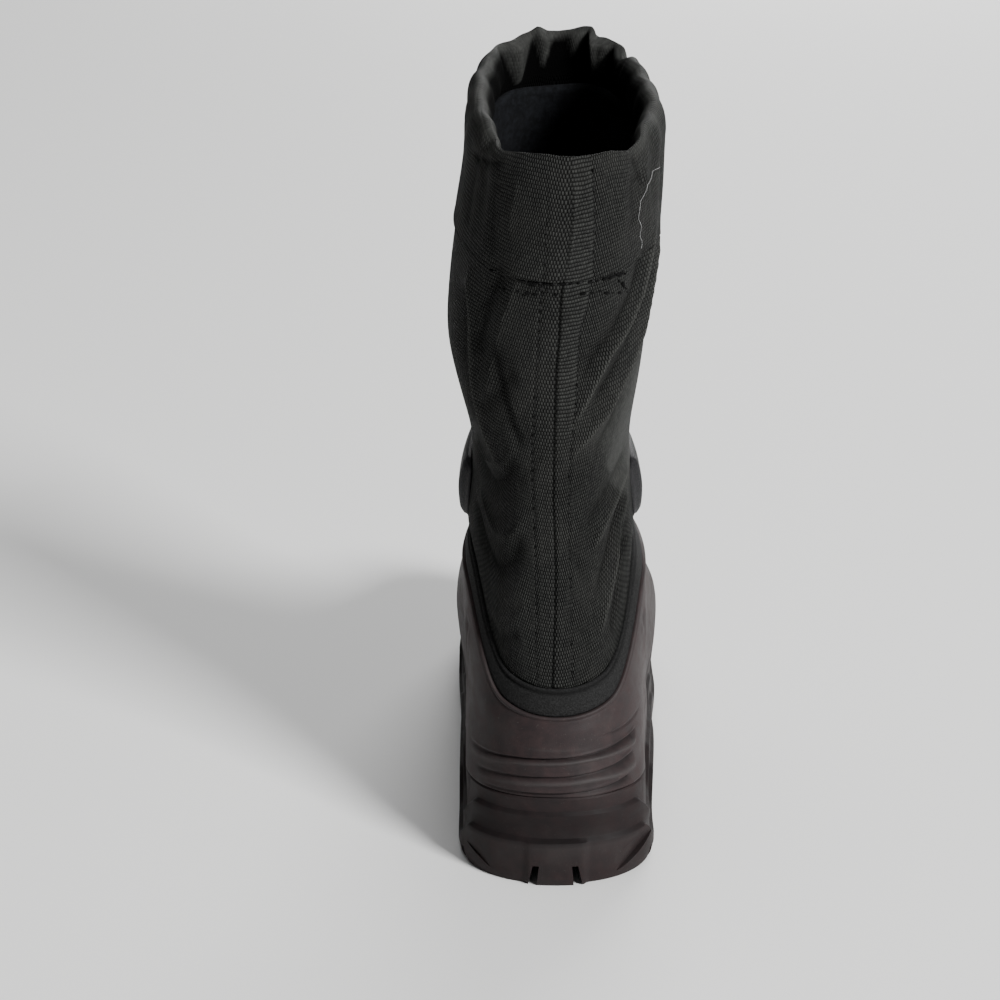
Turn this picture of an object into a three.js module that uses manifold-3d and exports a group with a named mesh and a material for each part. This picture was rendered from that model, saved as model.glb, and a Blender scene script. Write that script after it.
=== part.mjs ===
// Pull-on snow boot for a right foot: a moulded rubber shell on a lugged outsole, and a padded
// nylon shaft with a gathered collar. Millimetres, +Z up, toe towards +Y, outer side towards +X.
import * as THREE from 'three';
import Module from 'manifold-3d';
import { mergeVertices } from 'three/addons/utils/BufferGeometryUtils.js';

const wasm = await Module();
wasm.setup();

// Driving sizes of the foot
const footLength = 271;
const heelWidth = 77;
const waistWidth = 80;
const ballWidth = 95;
const seatHeight = 27; // top of the outsole under the heel
const toeSeatHeight = 28; // the same at the toe
const footbedDip = 9; // how far the footbed sinks between heel and toe
const shellBackHeight = 76; // top edge of the rubber shell at the heel
const shellFrontHeight = 130; // the same at the instep
const toplineRise = 27; // how far that edge arches up beside the ankle

// Driving sizes of the leg
const legWidth = 84;
const legDepth = 136;
const collarBackHeight = 309;
const collarFrontHeight = 334;

// Walls and clearances
const clearance = 0.3; // between pieces that meet
const shellWall = 3;
const cupWall = 2.5; // outsole wall round the foot of the shell
const bindingHeight = 12;
const bindingWall = 2.4;
const overlap = 1; // how far each piece stands back from the one below it
const shaftWall = 5.5; // nylon, padding and lining
const cuffWall = 2.6; // unlined nylon above the seam
const cuffStep = 0.8; // the cuff laps over the shaft at the seam
const rollWall = 11; // gathered hem round the drawcord
const rollRise = 12; // height of the rounded rim
const insoleThickness = 4;
const insoleEdge = 1; // rounding of its upper edge
const strapWidth = 33;
const strapThickness = 2.6;
const strapRise = 6; // lift of the strap over the instep
const strapGap = 9; // from the binding to the strap's lower edge

// Outsole
const heelFlare = 4; // lugs outside the shell at the heel
const toeFlare = 2.4; // the same at the toe
const stepFlare = 0.5; // middle step, as a share of the flare
const edgeBevel = 1.6;
const edgeBevelHeight = 5;
const stepDrop = 1.4;
const toeSpring = 12;
const archRecess = 4;
const wavesPerSide = 2.5;
const grooveWidth = 5;
const grooveDepth = 6;
const grooveTaper = 0.55; // width of a groove's roof
const notchSpread = 11; // heel notches, each side of the middle
const notchLean = 0.6; // share of that spread at their inner ends
const notchDepth = 10;
const cornerGrooveDepth = 4;
const centreLugProud = 1.6; // how far the lug between the notches stands out behind

// Ribs round the heel of the shell
const ribCount = 2;
const ribDepth = 1.7;
const ribReach = 36; // along the shell from the back seam
const lowestRib = 0.28; // share of the height from the outsole's rim to the top edge
const highestRib = 0.53;
const lapShares = [0.45, 0.12]; // from a rib's edge down to the start and the deepest of its lap

// Gathers of the collar
const pleatCount = 11;
const pleatDepth = 1.3;
const pleatLift = 1.2;
const tuftHeight = 4.5; // bunched cloth at the front, where the cord ties
const tuftHalfWidth = 0.3; // radians of the ring

const columns = 64;

// Each section is a ring through the boot, from the heel side to the toe or shin side.
// Foot sections: backY and frontY are shares of footLength; backZ runs from seatHeight to
// shellBackHeight and frontZ from toeSeatHeight to shellFrontHeight; the widths at heel, waist
// and ball are shares of heelWidth, waistWidth and ballWidth; heelRound and toeRound are shares
// of the ring's length; swing is a share of ballWidth, dip one of footbedDip and rise one of
// toplineRise.
const footSections = [
  // name, backY, backZ, frontY, frontZ, outer and inner widths, heelRound, toeRound, swing, dip, rise
  ['seat', 0.018, 0, 0.985, 0, [0.518, 0.565, 0.55], [0.485, 0.478, 0.42], 0.114, 0.34, -0.07, 1, 0],
  ['cupRim', 0.0055, 0.296, 0.997, 0.13, [0.512, 0.561, 0.573], [0.494, 0.48, 0.447], 0.14, 0.34, -0.07, 0.8, 0],
  ['bulge', 0.0055, 0.45, 0.985, 0.29, [0.503, 0.545, 0.576], [0.494, 0.476, 0.46], 0.17, 0.36, -0.068, 0.6, 0.03],
  ['toeTop', 0.008, 0.6, 0.938, 0.43, [0.499, 0.534, 0.553], [0.49, 0.476, 0.45], 0.2, 0.39, -0.06, 0.4, 0.12],
  ['vampLow', 0.013, 0.73, 0.85, 0.545, [0.492, 0.53, 0.508], [0.485, 0.48, 0.43], 0.24, 0.43, -0.045, 0.2, 0.32],
  ['vampMid', 0.0195, 0.86, 0.72, 0.735, [0.487, 0.513, 0.446], [0.48, 0.49, 0.405], 0.3, 0.46, -0.02, 0, 0.64],
  ['topline', 0.0295, 1, 0.583, 1, [0.48, 0.482, 0.385], [0.4675, 0.488, 0.38], 0.38, 0.46, -0.005, 0, 1],
];

// Leg sections: backY and frontY are shares of legDepth; backZ and frontZ run from the shell's
// top edge to the collar's; widths are shares of legWidth; sway is the ring's sideways lean, a
// share of legWidth, and rise a share of toplineRise.
const legSections = [
  // name, backY, backZ, frontY, frontZ, outer and inner widths, heelRound, toeRound, sway, rise
  ['bindingTop', 0.0735, 0.0515, 1.118, 0.054, [0.42, 0.412, 0.4], [0.417, 0.445, 0.421], 0.4, 0.46, 0, 0.97],
  ['ankleLow', 0.11, 0.18, 1.074, 0.146, [0.368, 0.394, 0.388], [0.395, 0.425, 0.412], 0.42, 0.48, -0.006, 0.7],
  ['ankle', 0.14, 0.36, 1.044, 0.278, [0.358, 0.38, 0.36], [0.39, 0.408, 0.388], 0.44, 0.48, -0.012, 0.33],
  ['shin', 0.11, 0.584, 1.015, 0.517, [0.42, 0.447, 0.426], [0.476, 0.514, 0.484], 0.46, 0.48, -0.018, 0.07],
  ['seam', 0.059, 0.794, 1, 0.756, [0.465, 0.494, 0.47], [0.454, 0.472, 0.452], 0.48, 0.48, -0.018, 0],
  ['cuff', 0.03, 0.9, 0.985, 0.885, [0.463, 0.485, 0.463], [0.446, 0.456, 0.44], 0.48, 0.46, 0.006, 0],
  ['rim', 0.022, 1, 0.98, 1, [0.458, 0.482, 0.458], [0.446, 0.464, 0.466], 0.48, 0.42, 0.018, 0],
];

const mix = (a, b, share) => a + (b - a) * share;
const clamp01 = (value) => Math.min(1, Math.max(0, value));
const ease = (value) => clamp01(value) ** 2 * (3 - 2 * clamp01(value));

// The numbers of a section in millimetres, in one flat list so that sections can be blended.
function footRow([, backY, backZ, frontY, frontZ, outer, inner, heelRound, toeRound, swing, dip, rise]) {
  const widths = [heelWidth, waistWidth, ballWidth];
  return [
    backY * footLength, mix(seatHeight, shellBackHeight, backZ),
    frontY * footLength, mix(toeSeatHeight, shellFrontHeight, frontZ),
    ...outer.map((share, i) => share * widths[i]), ...inner.map((share, i) => share * widths[i]),
    heelRound, toeRound, swing * ballWidth, dip * footbedDip, rise * toplineRise, 0,
  ];
}

function legRow([, backY, backZ, frontY, frontZ, outer, inner, heelRound, toeRound, sway, rise]) {
  return [
    backY * legDepth, mix(shellBackHeight, collarBackHeight, backZ),
    frontY * legDepth, mix(shellFrontHeight, collarFrontHeight, frontZ),
    ...outer.map((share) => share * legWidth), ...inner.map((share) => share * legWidth),
    heelRound, toeRound, 0, 0, rise * toplineRise, sway * legWidth,
  ];
}

const rows = [...footSections.map(footRow), ...legSections.map(legRow)];

// A place on the boot is the mean distance walked up its back and front, in millimetres.
const places = [0];
for (let i = 1; i < rows.length; i++) {
  const [a, b] = [rows[i - 1], rows[i]];
  const back = Math.hypot(b[0] - a[0], b[1] - a[1]);
  const front = Math.hypot(b[2] - a[2], b[3] - a[3]);
  places.push(places[i - 1] + (back + front) / 2);
}
const placeOf = {};
[...footSections, ...legSections].forEach((section, i) => { placeOf[section[0]] = places[i]; });

function rowSlope(i, column) {
  const [low, high] = [Math.max(0, i - 1), Math.min(rows.length - 1, i + 1)];
  return (rows[high][column] - rows[low][column]) / (places[high] - places[low]);
}

function rowAt(place) {
  let i = 0;
  while (i < rows.length - 2 && place > places[i + 1]) i++;
  const span = places[i + 1] - places[i];
  const u = (place - places[i]) / span;
  return rows[i].map((value, column) => (2 * u ** 3 - 3 * u ** 2 + 1) * value
    + (u ** 3 - 2 * u ** 2 + u) * span * rowSlope(i, column)
    + (3 * u ** 2 - 2 * u ** 3) * rows[i + 1][column]
    + (u ** 3 - u ** 2) * span * rowSlope(i + 1, column));
}

// Half width along a ring: heel to waist to ball, rounded off at both ends.
const heelEnd = 0.12;
const waistShare = 0.42;
const ballShare = 0.68;
const roundness = 2.2;

function halfWidth(share, [heel, waist, ball], heelRound, toeRound) {
  const side = share < waistShare
    ? mix(heel, waist, ease((share - heelEnd) / (waistShare - heelEnd)))
    : mix(waist, ball, ease((share - waistShare) / (ballShare - waistShare)));
  const heelCap = clamp01(1 - share / heelRound);
  const toeCap = clamp01((share - 1 + toeRound) / toeRound);
  const cap = Math.min(1 - heelCap ** roundness, 1 - toeCap ** roundness);
  return side * Math.max(0, cap) ** (1 / roundness);
}

// The shell's top edge climbs steeply beside the heel, then runs nearly level to the front.
const climb = [0.06, 0.3]; // shares of the ring's length

function riseProfile(share) {
  const [start, end] = climb;
  return ease((share - start) / (end - start)) * (1 - ease((share - end) / (1 - end)));
}

// Outer form of the boot at a place and an angle: 0 at the back, pi / 2 outer side, pi front.
const swingStart = 0.45;

function formPoint(place, angle) {
  const row = rowAt(place);
  const [backY, backZ, frontY, frontZ] = row;
  const [heelRound, toeRound, swing, dip, rise, sway] = row.slice(10);
  const share = (1 - Math.cos(angle)) / 2;
  const outer = Math.sin(angle) >= 0;
  const width = halfWidth(share, outer ? row.slice(4, 7) : row.slice(7, 10), heelRound, toeRound);
  const bend = clamp01((share - swingStart) / (1 - swingStart)) ** 2;
  return new THREE.Vector3(
    (outer ? width : -width) + swing * bend + sway,
    mix(backY, frontY, share),
    mix(backZ, frontZ, share) + rise * riseProfile(share) - dip * 4 * share * (1 - share),
  );
}

// Outward direction of the form, from two short steps along it.
const probe = 0.4;
const probeAngle = 0.02;

function formNormal(place, angle) {
  const [low, high] = [Math.max(0, place - probe), Math.min(places.at(-1), place + probe)];
  const up = formPoint(high, angle).sub(formPoint(low, angle));
  const round = formPoint(place, angle + probeAngle).sub(formPoint(place, angle - probeAngle));
  return round.cross(up).normalize();
}

function wallPoint(place, angle, outward) {
  return formPoint(place, angle).addScaledVector(formNormal(place, angle), outward);
}

const angles = Array.from({ length: columns }, (_, i) => (i / columns) * 2 * Math.PI);

function ring(pointAt) {
  return angles.map((angle, i) => pointAt(angle, i));
}

// Distance along the shell from the back seam, for each column of the mesh.
const girth = [0];
for (let i = 1; i <= columns / 2; i++) {
  const [a, b] = [formPoint(placeOf.cupRim, angles[i - 1]), formPoint(placeOf.cupRim, angles[i])];
  girth.push(girth[i - 1] + a.distanceTo(b));
}
const reachOf = (i) => girth[Math.min(i, columns - i)];

// A closed mesh from rings. A wall joins its last ring to its first; a stack has ends closed by
// rungs between the two sides of the ring, which keep the boot's lengthwise curve.
function geometryOf(points, triangles) {
  const geometry = new THREE.BufferGeometry();
  geometry.setAttribute('position', new THREE.Float32BufferAttribute(points.flatMap((p) => p.toArray()), 3));
  const volume = triangles.reduce((sum, [a, b, c]) => (
    sum + points[a].dot(new THREE.Vector3().crossVectors(points[b], points[c]))), 0);
  geometry.setIndex(triangles.flatMap(([a, b, c]) => (volume > 0 ? [a, b, c] : [a, c, b])));
  geometry.computeVertexNormals();
  return geometry;
}

// Every four-sided cell is split from its upper left to its lower right corner, so that walls
// that face each other have the same facets.
function ringStrips(rings, closed) {
  const count = rings[0].length;
  const triangles = [];
  const last = closed ? rings.length : rings.length - 1;
  for (let r = 0; r < last; r++) {
    const s = (r + 1) % rings.length;
    for (let i = 0; i < count; i++) {
      const j = (i + 1) % count;
      const [a, b, c, d] = [r * count + i, r * count + j, s * count + i, s * count + j];
      const rising = rings[s][i].z + rings[s][j].z > rings[r][i].z + rings[r][j].z;
      if (rising) triangles.push([a, b, c], [b, d, c]);
      else triangles.push([a, b, d], [a, d, c]);
    }
  }
  return triangles;
}

function wallGeometry(rings) {
  return geometryOf(rings.flat(), ringStrips(rings, true));
}

function rungs(start, count, flipped) {
  const triangles = [];
  for (let i = 0; i < count / 2; i++) {
    const [a, b] = [start + i, start + i + 1];
    const [c, d] = [start + ((count - i) % count), start + count - i - 1];
    if (i > 0) triangles.push([a, c, b]);
    if (i < count / 2 - 1) triangles.push([b, c, d]);
  }
  return flipped ? triangles.map(([a, b, c]) => [a, c, b]) : triangles;
}

function stackGeometry(rings) {
  const count = rings[0].length;
  const triangles = ringStrips(rings, false);
  triangles.push(...rungs(0, count, false), ...rungs((rings.length - 1) * count, count, true));
  return geometryOf(rings.flat(), triangles);
}

// Solids for cutting and joining
function solidOf(geometry) {
  const bare = geometry.clone();
  bare.deleteAttribute('normal');
  if (bare.attributes.uv) bare.deleteAttribute('uv');
  const merged = mergeVertices(bare, 1e-4);
  return new wasm.Manifold(new wasm.Mesh({
    numProp: 3,
    vertProperties: new Float32Array(merged.attributes.position.array),
    triVerts: new Uint32Array(merged.index.array),
  }));
}

function geometryFrom(solid) {
  const mesh = solid.getMesh();
  const geometry = new THREE.BufferGeometry();
  geometry.setAttribute('position', new THREE.BufferAttribute(new Float32Array(mesh.vertProperties), 3));
  geometry.setIndex(new THREE.BufferAttribute(new Uint32Array(mesh.triVerts), 1));
  geometry.computeVertexNormals();
  return geometry;
}

// Outsole

const toeLiftStart = 0.74; // shares of the foot's length
const archStart = 0.29;
const archEnd = 0.48;
const archSlope = 0.03;

function toeLift(y) {
  const start = toeLiftStart * footLength;
  return toeSpring * clamp01((y - start) / (footLength - start)) ** 1.8;
}

function soleBottom(y) {
  const share = y / footLength;
  const arch = ease((share - archStart) / archSlope) * (1 - ease((share - archEnd + archSlope) / archSlope));
  return archRecess * arch + toeLift(y);
}

// The steps of the sole's side rise and fall in flat-topped waves along the foot.
const waveMiddle = -0.545;
const waveSlope = 0.69;

function wave(reach) {
  const period = girth.at(-1) / wavesPerSide;
  const level = Math.cos((2 * Math.PI * reach) / period);
  return ease(0.5 + (level - waveMiddle) / waveSlope);
}

function flareAt(y) {
  return mix(heelFlare, toeFlare, ease(y / footLength));
}

// A point on the sole's side at a height, standing out from the shell by a share of the flare.
function sidePoint(angle, height, flareShare) {
  const [seat, rim] = [formPoint(placeOf.seat, angle), formPoint(placeOf.cupRim, angle)];
  const point = seat.clone().lerp(rim, clamp01((height - seat.z) / (rim.z - seat.z)));
  const across = formNormal(placeOf.cupRim, angle).setZ(0).normalize();
  return point.addScaledVector(across, flareShare * flareAt(point.y)).setZ(height);
}

function stepHeight(angle, i, lowShare, highShare) {
  const rim = formPoint(placeOf.cupRim, angle);
  const lift = toeLift(rim.y);
  const height = lift + (rim.z - lift) * mix(lowShare, highShare, wave(reachOf(i)));
  return Math.max(height, lift + edgeBevelHeight + stepDrop);
}

const lowerStep = [0.21, 0.5]; // shares of the rim's height, in a trough and on a crest
const upperStep = [0.46, 0.8];

// A groove is a bar with a narrower roof, let into the sole from below.
function grooveBetween([fromX, fromY], [toX, toY], width, depth, rise = 0) {
  const section = new THREE.Shape([
    new THREE.Vector2(-width / 2, -depth), new THREE.Vector2(width / 2, -depth),
    new THREE.Vector2((grooveTaper * width) / 2, depth), new THREE.Vector2((-grooveTaper * width) / 2, depth),
  ]);
  const from = new THREE.Vector3(fromX, fromY, toeLift(fromY));
  const along = new THREE.Vector3(toX, toY, toeLift(fromY) + rise).sub(from);
  const length = along.length();
  along.normalize();
  const across = new THREE.Vector3(0, 0, 1).cross(along).normalize();
  const up = along.clone().cross(across);
  const bar = new THREE.ExtrudeGeometry(section, { depth: length, bevelEnabled: false });
  return bar.applyMatrix4(new THREE.Matrix4().makeBasis(across, up, along).setPosition(from));
}

const heelGrooves = [0.085, 0.155, 0.225]; // shares of the foot's length
const chevrons = [0.51, 0.58, 0.65, 0.72, 0.79, 0.86];
const chevronSweep = 0.08;
const cornerGroove = [0.2, 0.6, 0.09]; // start and end across the heel, and how far it runs forward

function treadGrooves() {
  const grooves = [];
  const beyond = ballWidth;
  const behind = -2 * heelFlare;
  for (const share of heelGrooves) {
    const y = share * footLength;
    grooves.push(grooveBetween([-beyond, y], [beyond, y], grooveWidth, grooveDepth));
  }
  for (const side of [-1, 1]) {
    for (const share of chevrons) {
      const start = [(-side * grooveWidth) / 2, share * footLength];
      const end = [side * beyond, (share - chevronSweep) * footLength];
      grooves.push(grooveBetween(start, end, grooveWidth, grooveDepth));
    }
    grooves.push(grooveBetween(
      [side * notchSpread, behind],
      [side * notchLean * notchSpread, heelGrooves[0] * footLength], grooveWidth, notchDepth,
    ));
    const [inner, outer, forward] = cornerGroove;
    grooves.push(grooveBetween(
      [side * inner * heelWidth, behind],
      [side * outer * heelWidth, forward * footLength], grooveWidth, cornerGrooveDepth, 2 * notchDepth,
    ));
  }
  return grooves;
}

function outsoleGeometry() {
  const proud = (i) => (reachOf(i) < notchSpread ? centreLugProud / heelFlare : 0);
  const lower = ([low, high], drop, flareShare) => ring((angle, i) => (
    sidePoint(angle, stepHeight(angle, i, low, high) + drop, flareShare)));
  const rings = [
    ring((angle, i) => {
      const point = sidePoint(angle, 0, 1 - edgeBevel / heelFlare + proud(i));
      return point.setZ(soleBottom(point.y));
    }),
    ring((angle, i) => {
      const point = sidePoint(angle, 0, 1 + proud(i));
      return point.setZ(toeLift(point.y) + edgeBevelHeight);
    }),
    lower(lowerStep, 0, 1),
    lower(lowerStep, stepDrop, stepFlare),
    lower(upperStep, 0, stepFlare),
    lower(upperStep, stepDrop, 0),
    ring((angle) => wallPoint(placeOf.cupRim, angle, 0)),
    ring((angle) => wallPoint(placeOf.cupRim, angle, -cupWall)),
    ring((angle) => wallPoint(placeOf.seat, angle, -cupWall).setZ(formPoint(placeOf.seat, angle).z)),
  ];
  const block = solidOf(stackGeometry(rings));
  return geometryFrom(treadGrooves().reduce((solid, groove) => solid.subtract(solidOf(groove)), block));
}

function insoleGeometry() {
  const inset = -(cupWall + clearance + shellWall + 3 * clearance);
  const level = (lift, extra) => ring((angle) => {
    const point = wallPoint(placeOf.seat, angle, inset - extra);
    return point.setZ(formPoint(placeOf.seat, angle).z + lift);
  });
  return stackGeometry([
    level(clearance, 0),
    level(clearance + insoleThickness - insoleEdge, 0),
    level(clearance + insoleThickness, insoleEdge),
  ]);
}

// The place whose ring has a given height at the back
function placeAtBack(height) {
  let [low, high] = [places[0], places.at(-1)];
  for (let i = 0; i < 30; i++) {
    const half = (low + high) / 2;
    if (rowAt(half)[1] < height) low = half;
    else high = half;
  }
  return low;
}

// Rubber shell: its foot stands inside the outsole's wall, and lapped ribs run round its heel.
function shellGeometry() {
  const tucked = -(cupWall + clearance);
  const start = placeOf.cupRim + clearance;
  const end = placeOf.topline - clearance;
  const footRing = (outward) => ring((angle) => (
    wallPoint(placeOf.seat, angle, outward).setZ(formPoint(placeOf.seat, angle).z + clearance)));
  const rimRing = (outward) => ring((angle) => {
    const point = wallPoint(placeOf.cupRim, angle, outward);
    return point.setZ(point.z + clearance);
  });
  const outside = [footRing(tucked), rimRing(tucked), rimRing(0)];
  const ribRing = (height, depth) => ring((angle, i) => (
    wallPoint(placeAtBack(height), angle, reachOf(i) <= ribReach ? -depth : 0)));
  const rimHeight = mix(seatHeight, shellBackHeight, footSections[1][2]);
  const pitch = ((shellBackHeight - rimHeight) * (highestRib - lowestRib)) / (ribCount - 1);
  for (let i = 0; i < ribCount; i++) {
    const height = mix(rimHeight, shellBackHeight, lowestRib) + i * pitch;
    const [lapStart, deepest] = lapShares.map((share) => height - share * pitch);
    outside.push(ribRing(lapStart, 0), ribRing(deepest, ribDepth), ribRing(height, 0));
  }
  outside.push(ring((angle) => wallPoint(end, angle, 0)));
  const inside = [1, 0.85, 0.7, 0.55, 0.4, 0.25, 0.1].map((share) => ring((angle) => (
    wallPoint(mix(start, end, share), angle, mix(-shellWall, tucked - shellWall, ease(1 - 2 * share))))));
  return wallGeometry([...outside, ...inside, footRing(tucked - shellWall)]);
}

function bindingGeometry() {
  const [low, high] = [placeOf.topline + clearance, placeOf.topline + bindingHeight];
  const levels = [low, (low + high) / 2, high];
  return wallGeometry([
    ...levels.map((place) => ring((angle) => wallPoint(place, angle, -overlap))),
    ...levels.toReversed().map((place) => ring((angle) => wallPoint(place, angle, -overlap - bindingWall))),
  ]);
}

// Shaft: padded tube, a lapped seam, and the cuff gathered into a rolled rim.
const shaftStart = placeOf.topline + bindingHeight + clearance;

function pleat(place, angle) {
  const strength = ease((place - placeOf.seam) / (placeOf.rim - placeOf.seam));
  return strength * Math.cos(pleatCount * angle);
}

function tuft(angle) {
  return ease(1 - Math.abs(angle - Math.PI) / tuftHalfWidth);
}

function shaftPoint(place, angle, outward) {
  const point = wallPoint(place, angle, outward + pleatDepth * pleat(place, angle));
  const rise = ease((place - placeOf.cuff) / (placeOf.rim - placeOf.cuff));
  point.z += rise * (pleatLift * pleat(place, angle) + tuftHeight * tuft(angle));
  return point;
}

function shaftGeometry() {
  const stand = (place) => -2 * overlap * (1 - ease((place - shaftStart) / bindingHeight));
  const lap = 0.5;
  const rollStart = placeOf.rim - rollRise;
  const rollTurns = [0.5, 0.85]; // quarter turns over the rim
  const outside = [0, 0.06, 0.12, 0.19, 0.27, 0.36, 0.48, 0.62, 0.8, 1].map((share) => {
    const place = mix(shaftStart, placeOf.seam - lap, share);
    return ring((angle) => shaftPoint(place, angle, stand(place)));
  });
  for (const share of [0, 0.5, 1]) {
    const place = mix(placeOf.seam + lap, rollStart, share);
    outside.push(ring((angle) => shaftPoint(place, angle, cuffStep)));
  }
  for (const turn of rollTurns) {
    const place = rollStart + rollRise * Math.sin(turn * Math.PI / 2);
    const inset = (rollWall / 2) * (1 - Math.cos(turn * Math.PI / 2));
    outside.push(ring((angle) => shaftPoint(place, angle, cuffStep - inset)));
  }
  outside.push(ring((angle) => shaftPoint(placeOf.rim, angle, cuffStep - rollWall / 2)));
  const inside = rollTurns.toReversed().map((turn) => {
    const place = rollStart + rollRise * Math.sin(turn * Math.PI / 2);
    const inset = rollWall - (rollWall / 2) * (1 - Math.cos(turn * Math.PI / 2));
    return ring((angle) => shaftPoint(place, angle, cuffStep - inset));
  });
  const liningTop = mix(placeOf.seam, placeOf.cuff, 0.5);
  inside.push(
    ring((angle) => shaftPoint(rollStart, angle, cuffStep - rollWall)),
    ring((angle) => shaftPoint(rollStart - rollRise / 2, angle, -cuffWall)),
    ring((angle) => shaftPoint(liningTop + lap, angle, -cuffWall)),
    ring((angle) => shaftPoint(liningTop - lap, angle, -shaftWall)),
  );
  for (const share of [0.85, 0.62, 0.42, 0.26, 0.12, 0]) {
    const place = mix(shaftStart, liningTop, share);
    inside.push(ring((angle) => shaftPoint(place, angle, Math.min(-shaftWall, stand(place) - bindingWall))));
  }
  return wallGeometry([...outside, ...inside]);
}

// Instep strap: a strip over the front of the ankle, on the columns of the shaft.
function strapGeometry() {
  const across = [0, 0.25, 0.5, 0.75, 1];
  const [first, last] = [columns / 4, (3 * columns) / 4];
  const section = [
    ...across.map((share) => [share, 2 * clearance]),
    ...across.toReversed().map((share) => [share, clearance + strapThickness]),
  ];
  const points = [];
  for (let i = first; i <= last; i++) {
    const rise = strapRise * Math.sin(((i - first) / (last - first)) * Math.PI);
    const low = shaftStart + strapGap + rise;
    points.push(section.map(([share, out]) => shaftPoint(low + strapWidth * share, angles[i], out)));
  }
  const count = section.length;
  const triangles = ringStrips(points, false);
  for (const [start, flipped] of [[0, true], [(last - first) * count, false]]) {
    for (let i = 0; i < across.length - 1; i++) {
      const [a, b, c, d] = [i, i + 1, count - 2 - i, count - 1 - i].map((n) => start + n);
      triangles.push(...[[a, b, c], [a, c, d]].map(([p, q, r]) => (flipped ? [p, r, q] : [p, q, r])));
    }
  }
  return geometryOf(points.flat(), triangles);
}

function piece(name, geometry, color, roughness) {
  const mesh = new THREE.Mesh(geometry, new THREE.MeshStandardMaterial({ color, roughness, metalness: 0 }));
  mesh.name = name;
  return mesh;
}

const boot = new THREE.Group();
boot.add(
  piece('outsole', outsoleGeometry(), 0x262324, 0.55),
  piece('insole', insoleGeometry(), 0x2c2c2e, 0.9),
  piece('shell', shellGeometry(), 0x2e2a2a, 0.45),
  piece('topline_binding', bindingGeometry(), 0x1e1e1d, 0.8),
  piece('shaft', shaftGeometry(), 0x1d1d1c, 0.9),
  piece('instep_strap', strapGeometry(), 0x1a1b1c, 0.6),
);

// The origin is under the middle of the boot, on the floor.
const extent = new THREE.Box3().setFromObject(boot, true);
const middle = extent.getCenter(new THREE.Vector3());
boot.position.set(-middle.x, -middle.y, -extent.min.z);

export default boot;
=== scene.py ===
import math
import bmesh
import bpy
import numpy as np
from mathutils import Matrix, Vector


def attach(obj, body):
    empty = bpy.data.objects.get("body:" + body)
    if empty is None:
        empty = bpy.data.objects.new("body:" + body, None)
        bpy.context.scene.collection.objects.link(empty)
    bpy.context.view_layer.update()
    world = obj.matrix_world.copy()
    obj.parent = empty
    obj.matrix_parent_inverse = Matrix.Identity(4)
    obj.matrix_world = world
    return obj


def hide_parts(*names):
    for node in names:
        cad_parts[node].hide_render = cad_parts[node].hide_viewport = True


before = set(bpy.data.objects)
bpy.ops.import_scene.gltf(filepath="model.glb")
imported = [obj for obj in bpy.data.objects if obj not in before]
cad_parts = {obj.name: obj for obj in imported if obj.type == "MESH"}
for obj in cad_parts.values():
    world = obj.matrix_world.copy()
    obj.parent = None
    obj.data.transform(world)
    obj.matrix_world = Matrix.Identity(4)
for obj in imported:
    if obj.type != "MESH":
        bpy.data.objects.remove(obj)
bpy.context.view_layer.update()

# The form of the boot, in millimetres from the back of the heel, with the same sections as the part
foot = {"length": 271.0, "heel": 77.0, "waist": 80.0, "ball": 95.0, "seat": 27.0, "toeSeat": 28.0,
        "dip": 9.0, "shellBack": 76.0, "shellFront": 130.0, "rise": 27.0}
leg = {"width": 84.0, "depth": 136.0, "collarBack": 309.0, "collarFront": 334.0}
walls = {"clearance": 0.3, "shell": 3.0, "cup": 2.5, "binding": 2.4, "bindingHeight": 12.0,
         "cuff": 2.6, "cuffStep": 0.8, "roll": 11.0, "rollRise": 12.0}
partShift = np.array([-4.6604, -134.7336, 0.0])

# name, backY, backZ, frontY, frontZ, outer widths, inner widths, heelRound, toeRound, swing, dip, rise
footSections = [
    ("seat", 0.018, 0, 0.985, 0, (0.518, 0.565, 0.55), (0.485, 0.478, 0.42),
     0.114, 0.34, -0.07, 1, 0),
    ("cupRim", 0.0055, 0.296, 0.997, 0.13, (0.512, 0.561, 0.573), (0.494, 0.48, 0.447),
     0.14, 0.34, -0.07, 0.8, 0),
    ("bulge", 0.0055, 0.45, 0.985, 0.29, (0.503, 0.545, 0.576), (0.494, 0.476, 0.46),
     0.17, 0.36, -0.068, 0.6, 0.03),
    ("toeTop", 0.008, 0.6, 0.938, 0.43, (0.499, 0.534, 0.553), (0.49, 0.476, 0.45),
     0.2, 0.39, -0.06, 0.4, 0.12),
    ("vampLow", 0.013, 0.73, 0.85, 0.545, (0.492, 0.53, 0.508), (0.485, 0.48, 0.43),
     0.24, 0.43, -0.045, 0.2, 0.32),
    ("vampMid", 0.0195, 0.86, 0.72, 0.735, (0.487, 0.513, 0.446), (0.48, 0.49, 0.405),
     0.3, 0.46, -0.02, 0, 0.64),
    ("topline", 0.0295, 1, 0.583, 1, (0.48, 0.482, 0.385), (0.4675, 0.488, 0.38),
     0.38, 0.46, -0.005, 0, 1),
]
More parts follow.
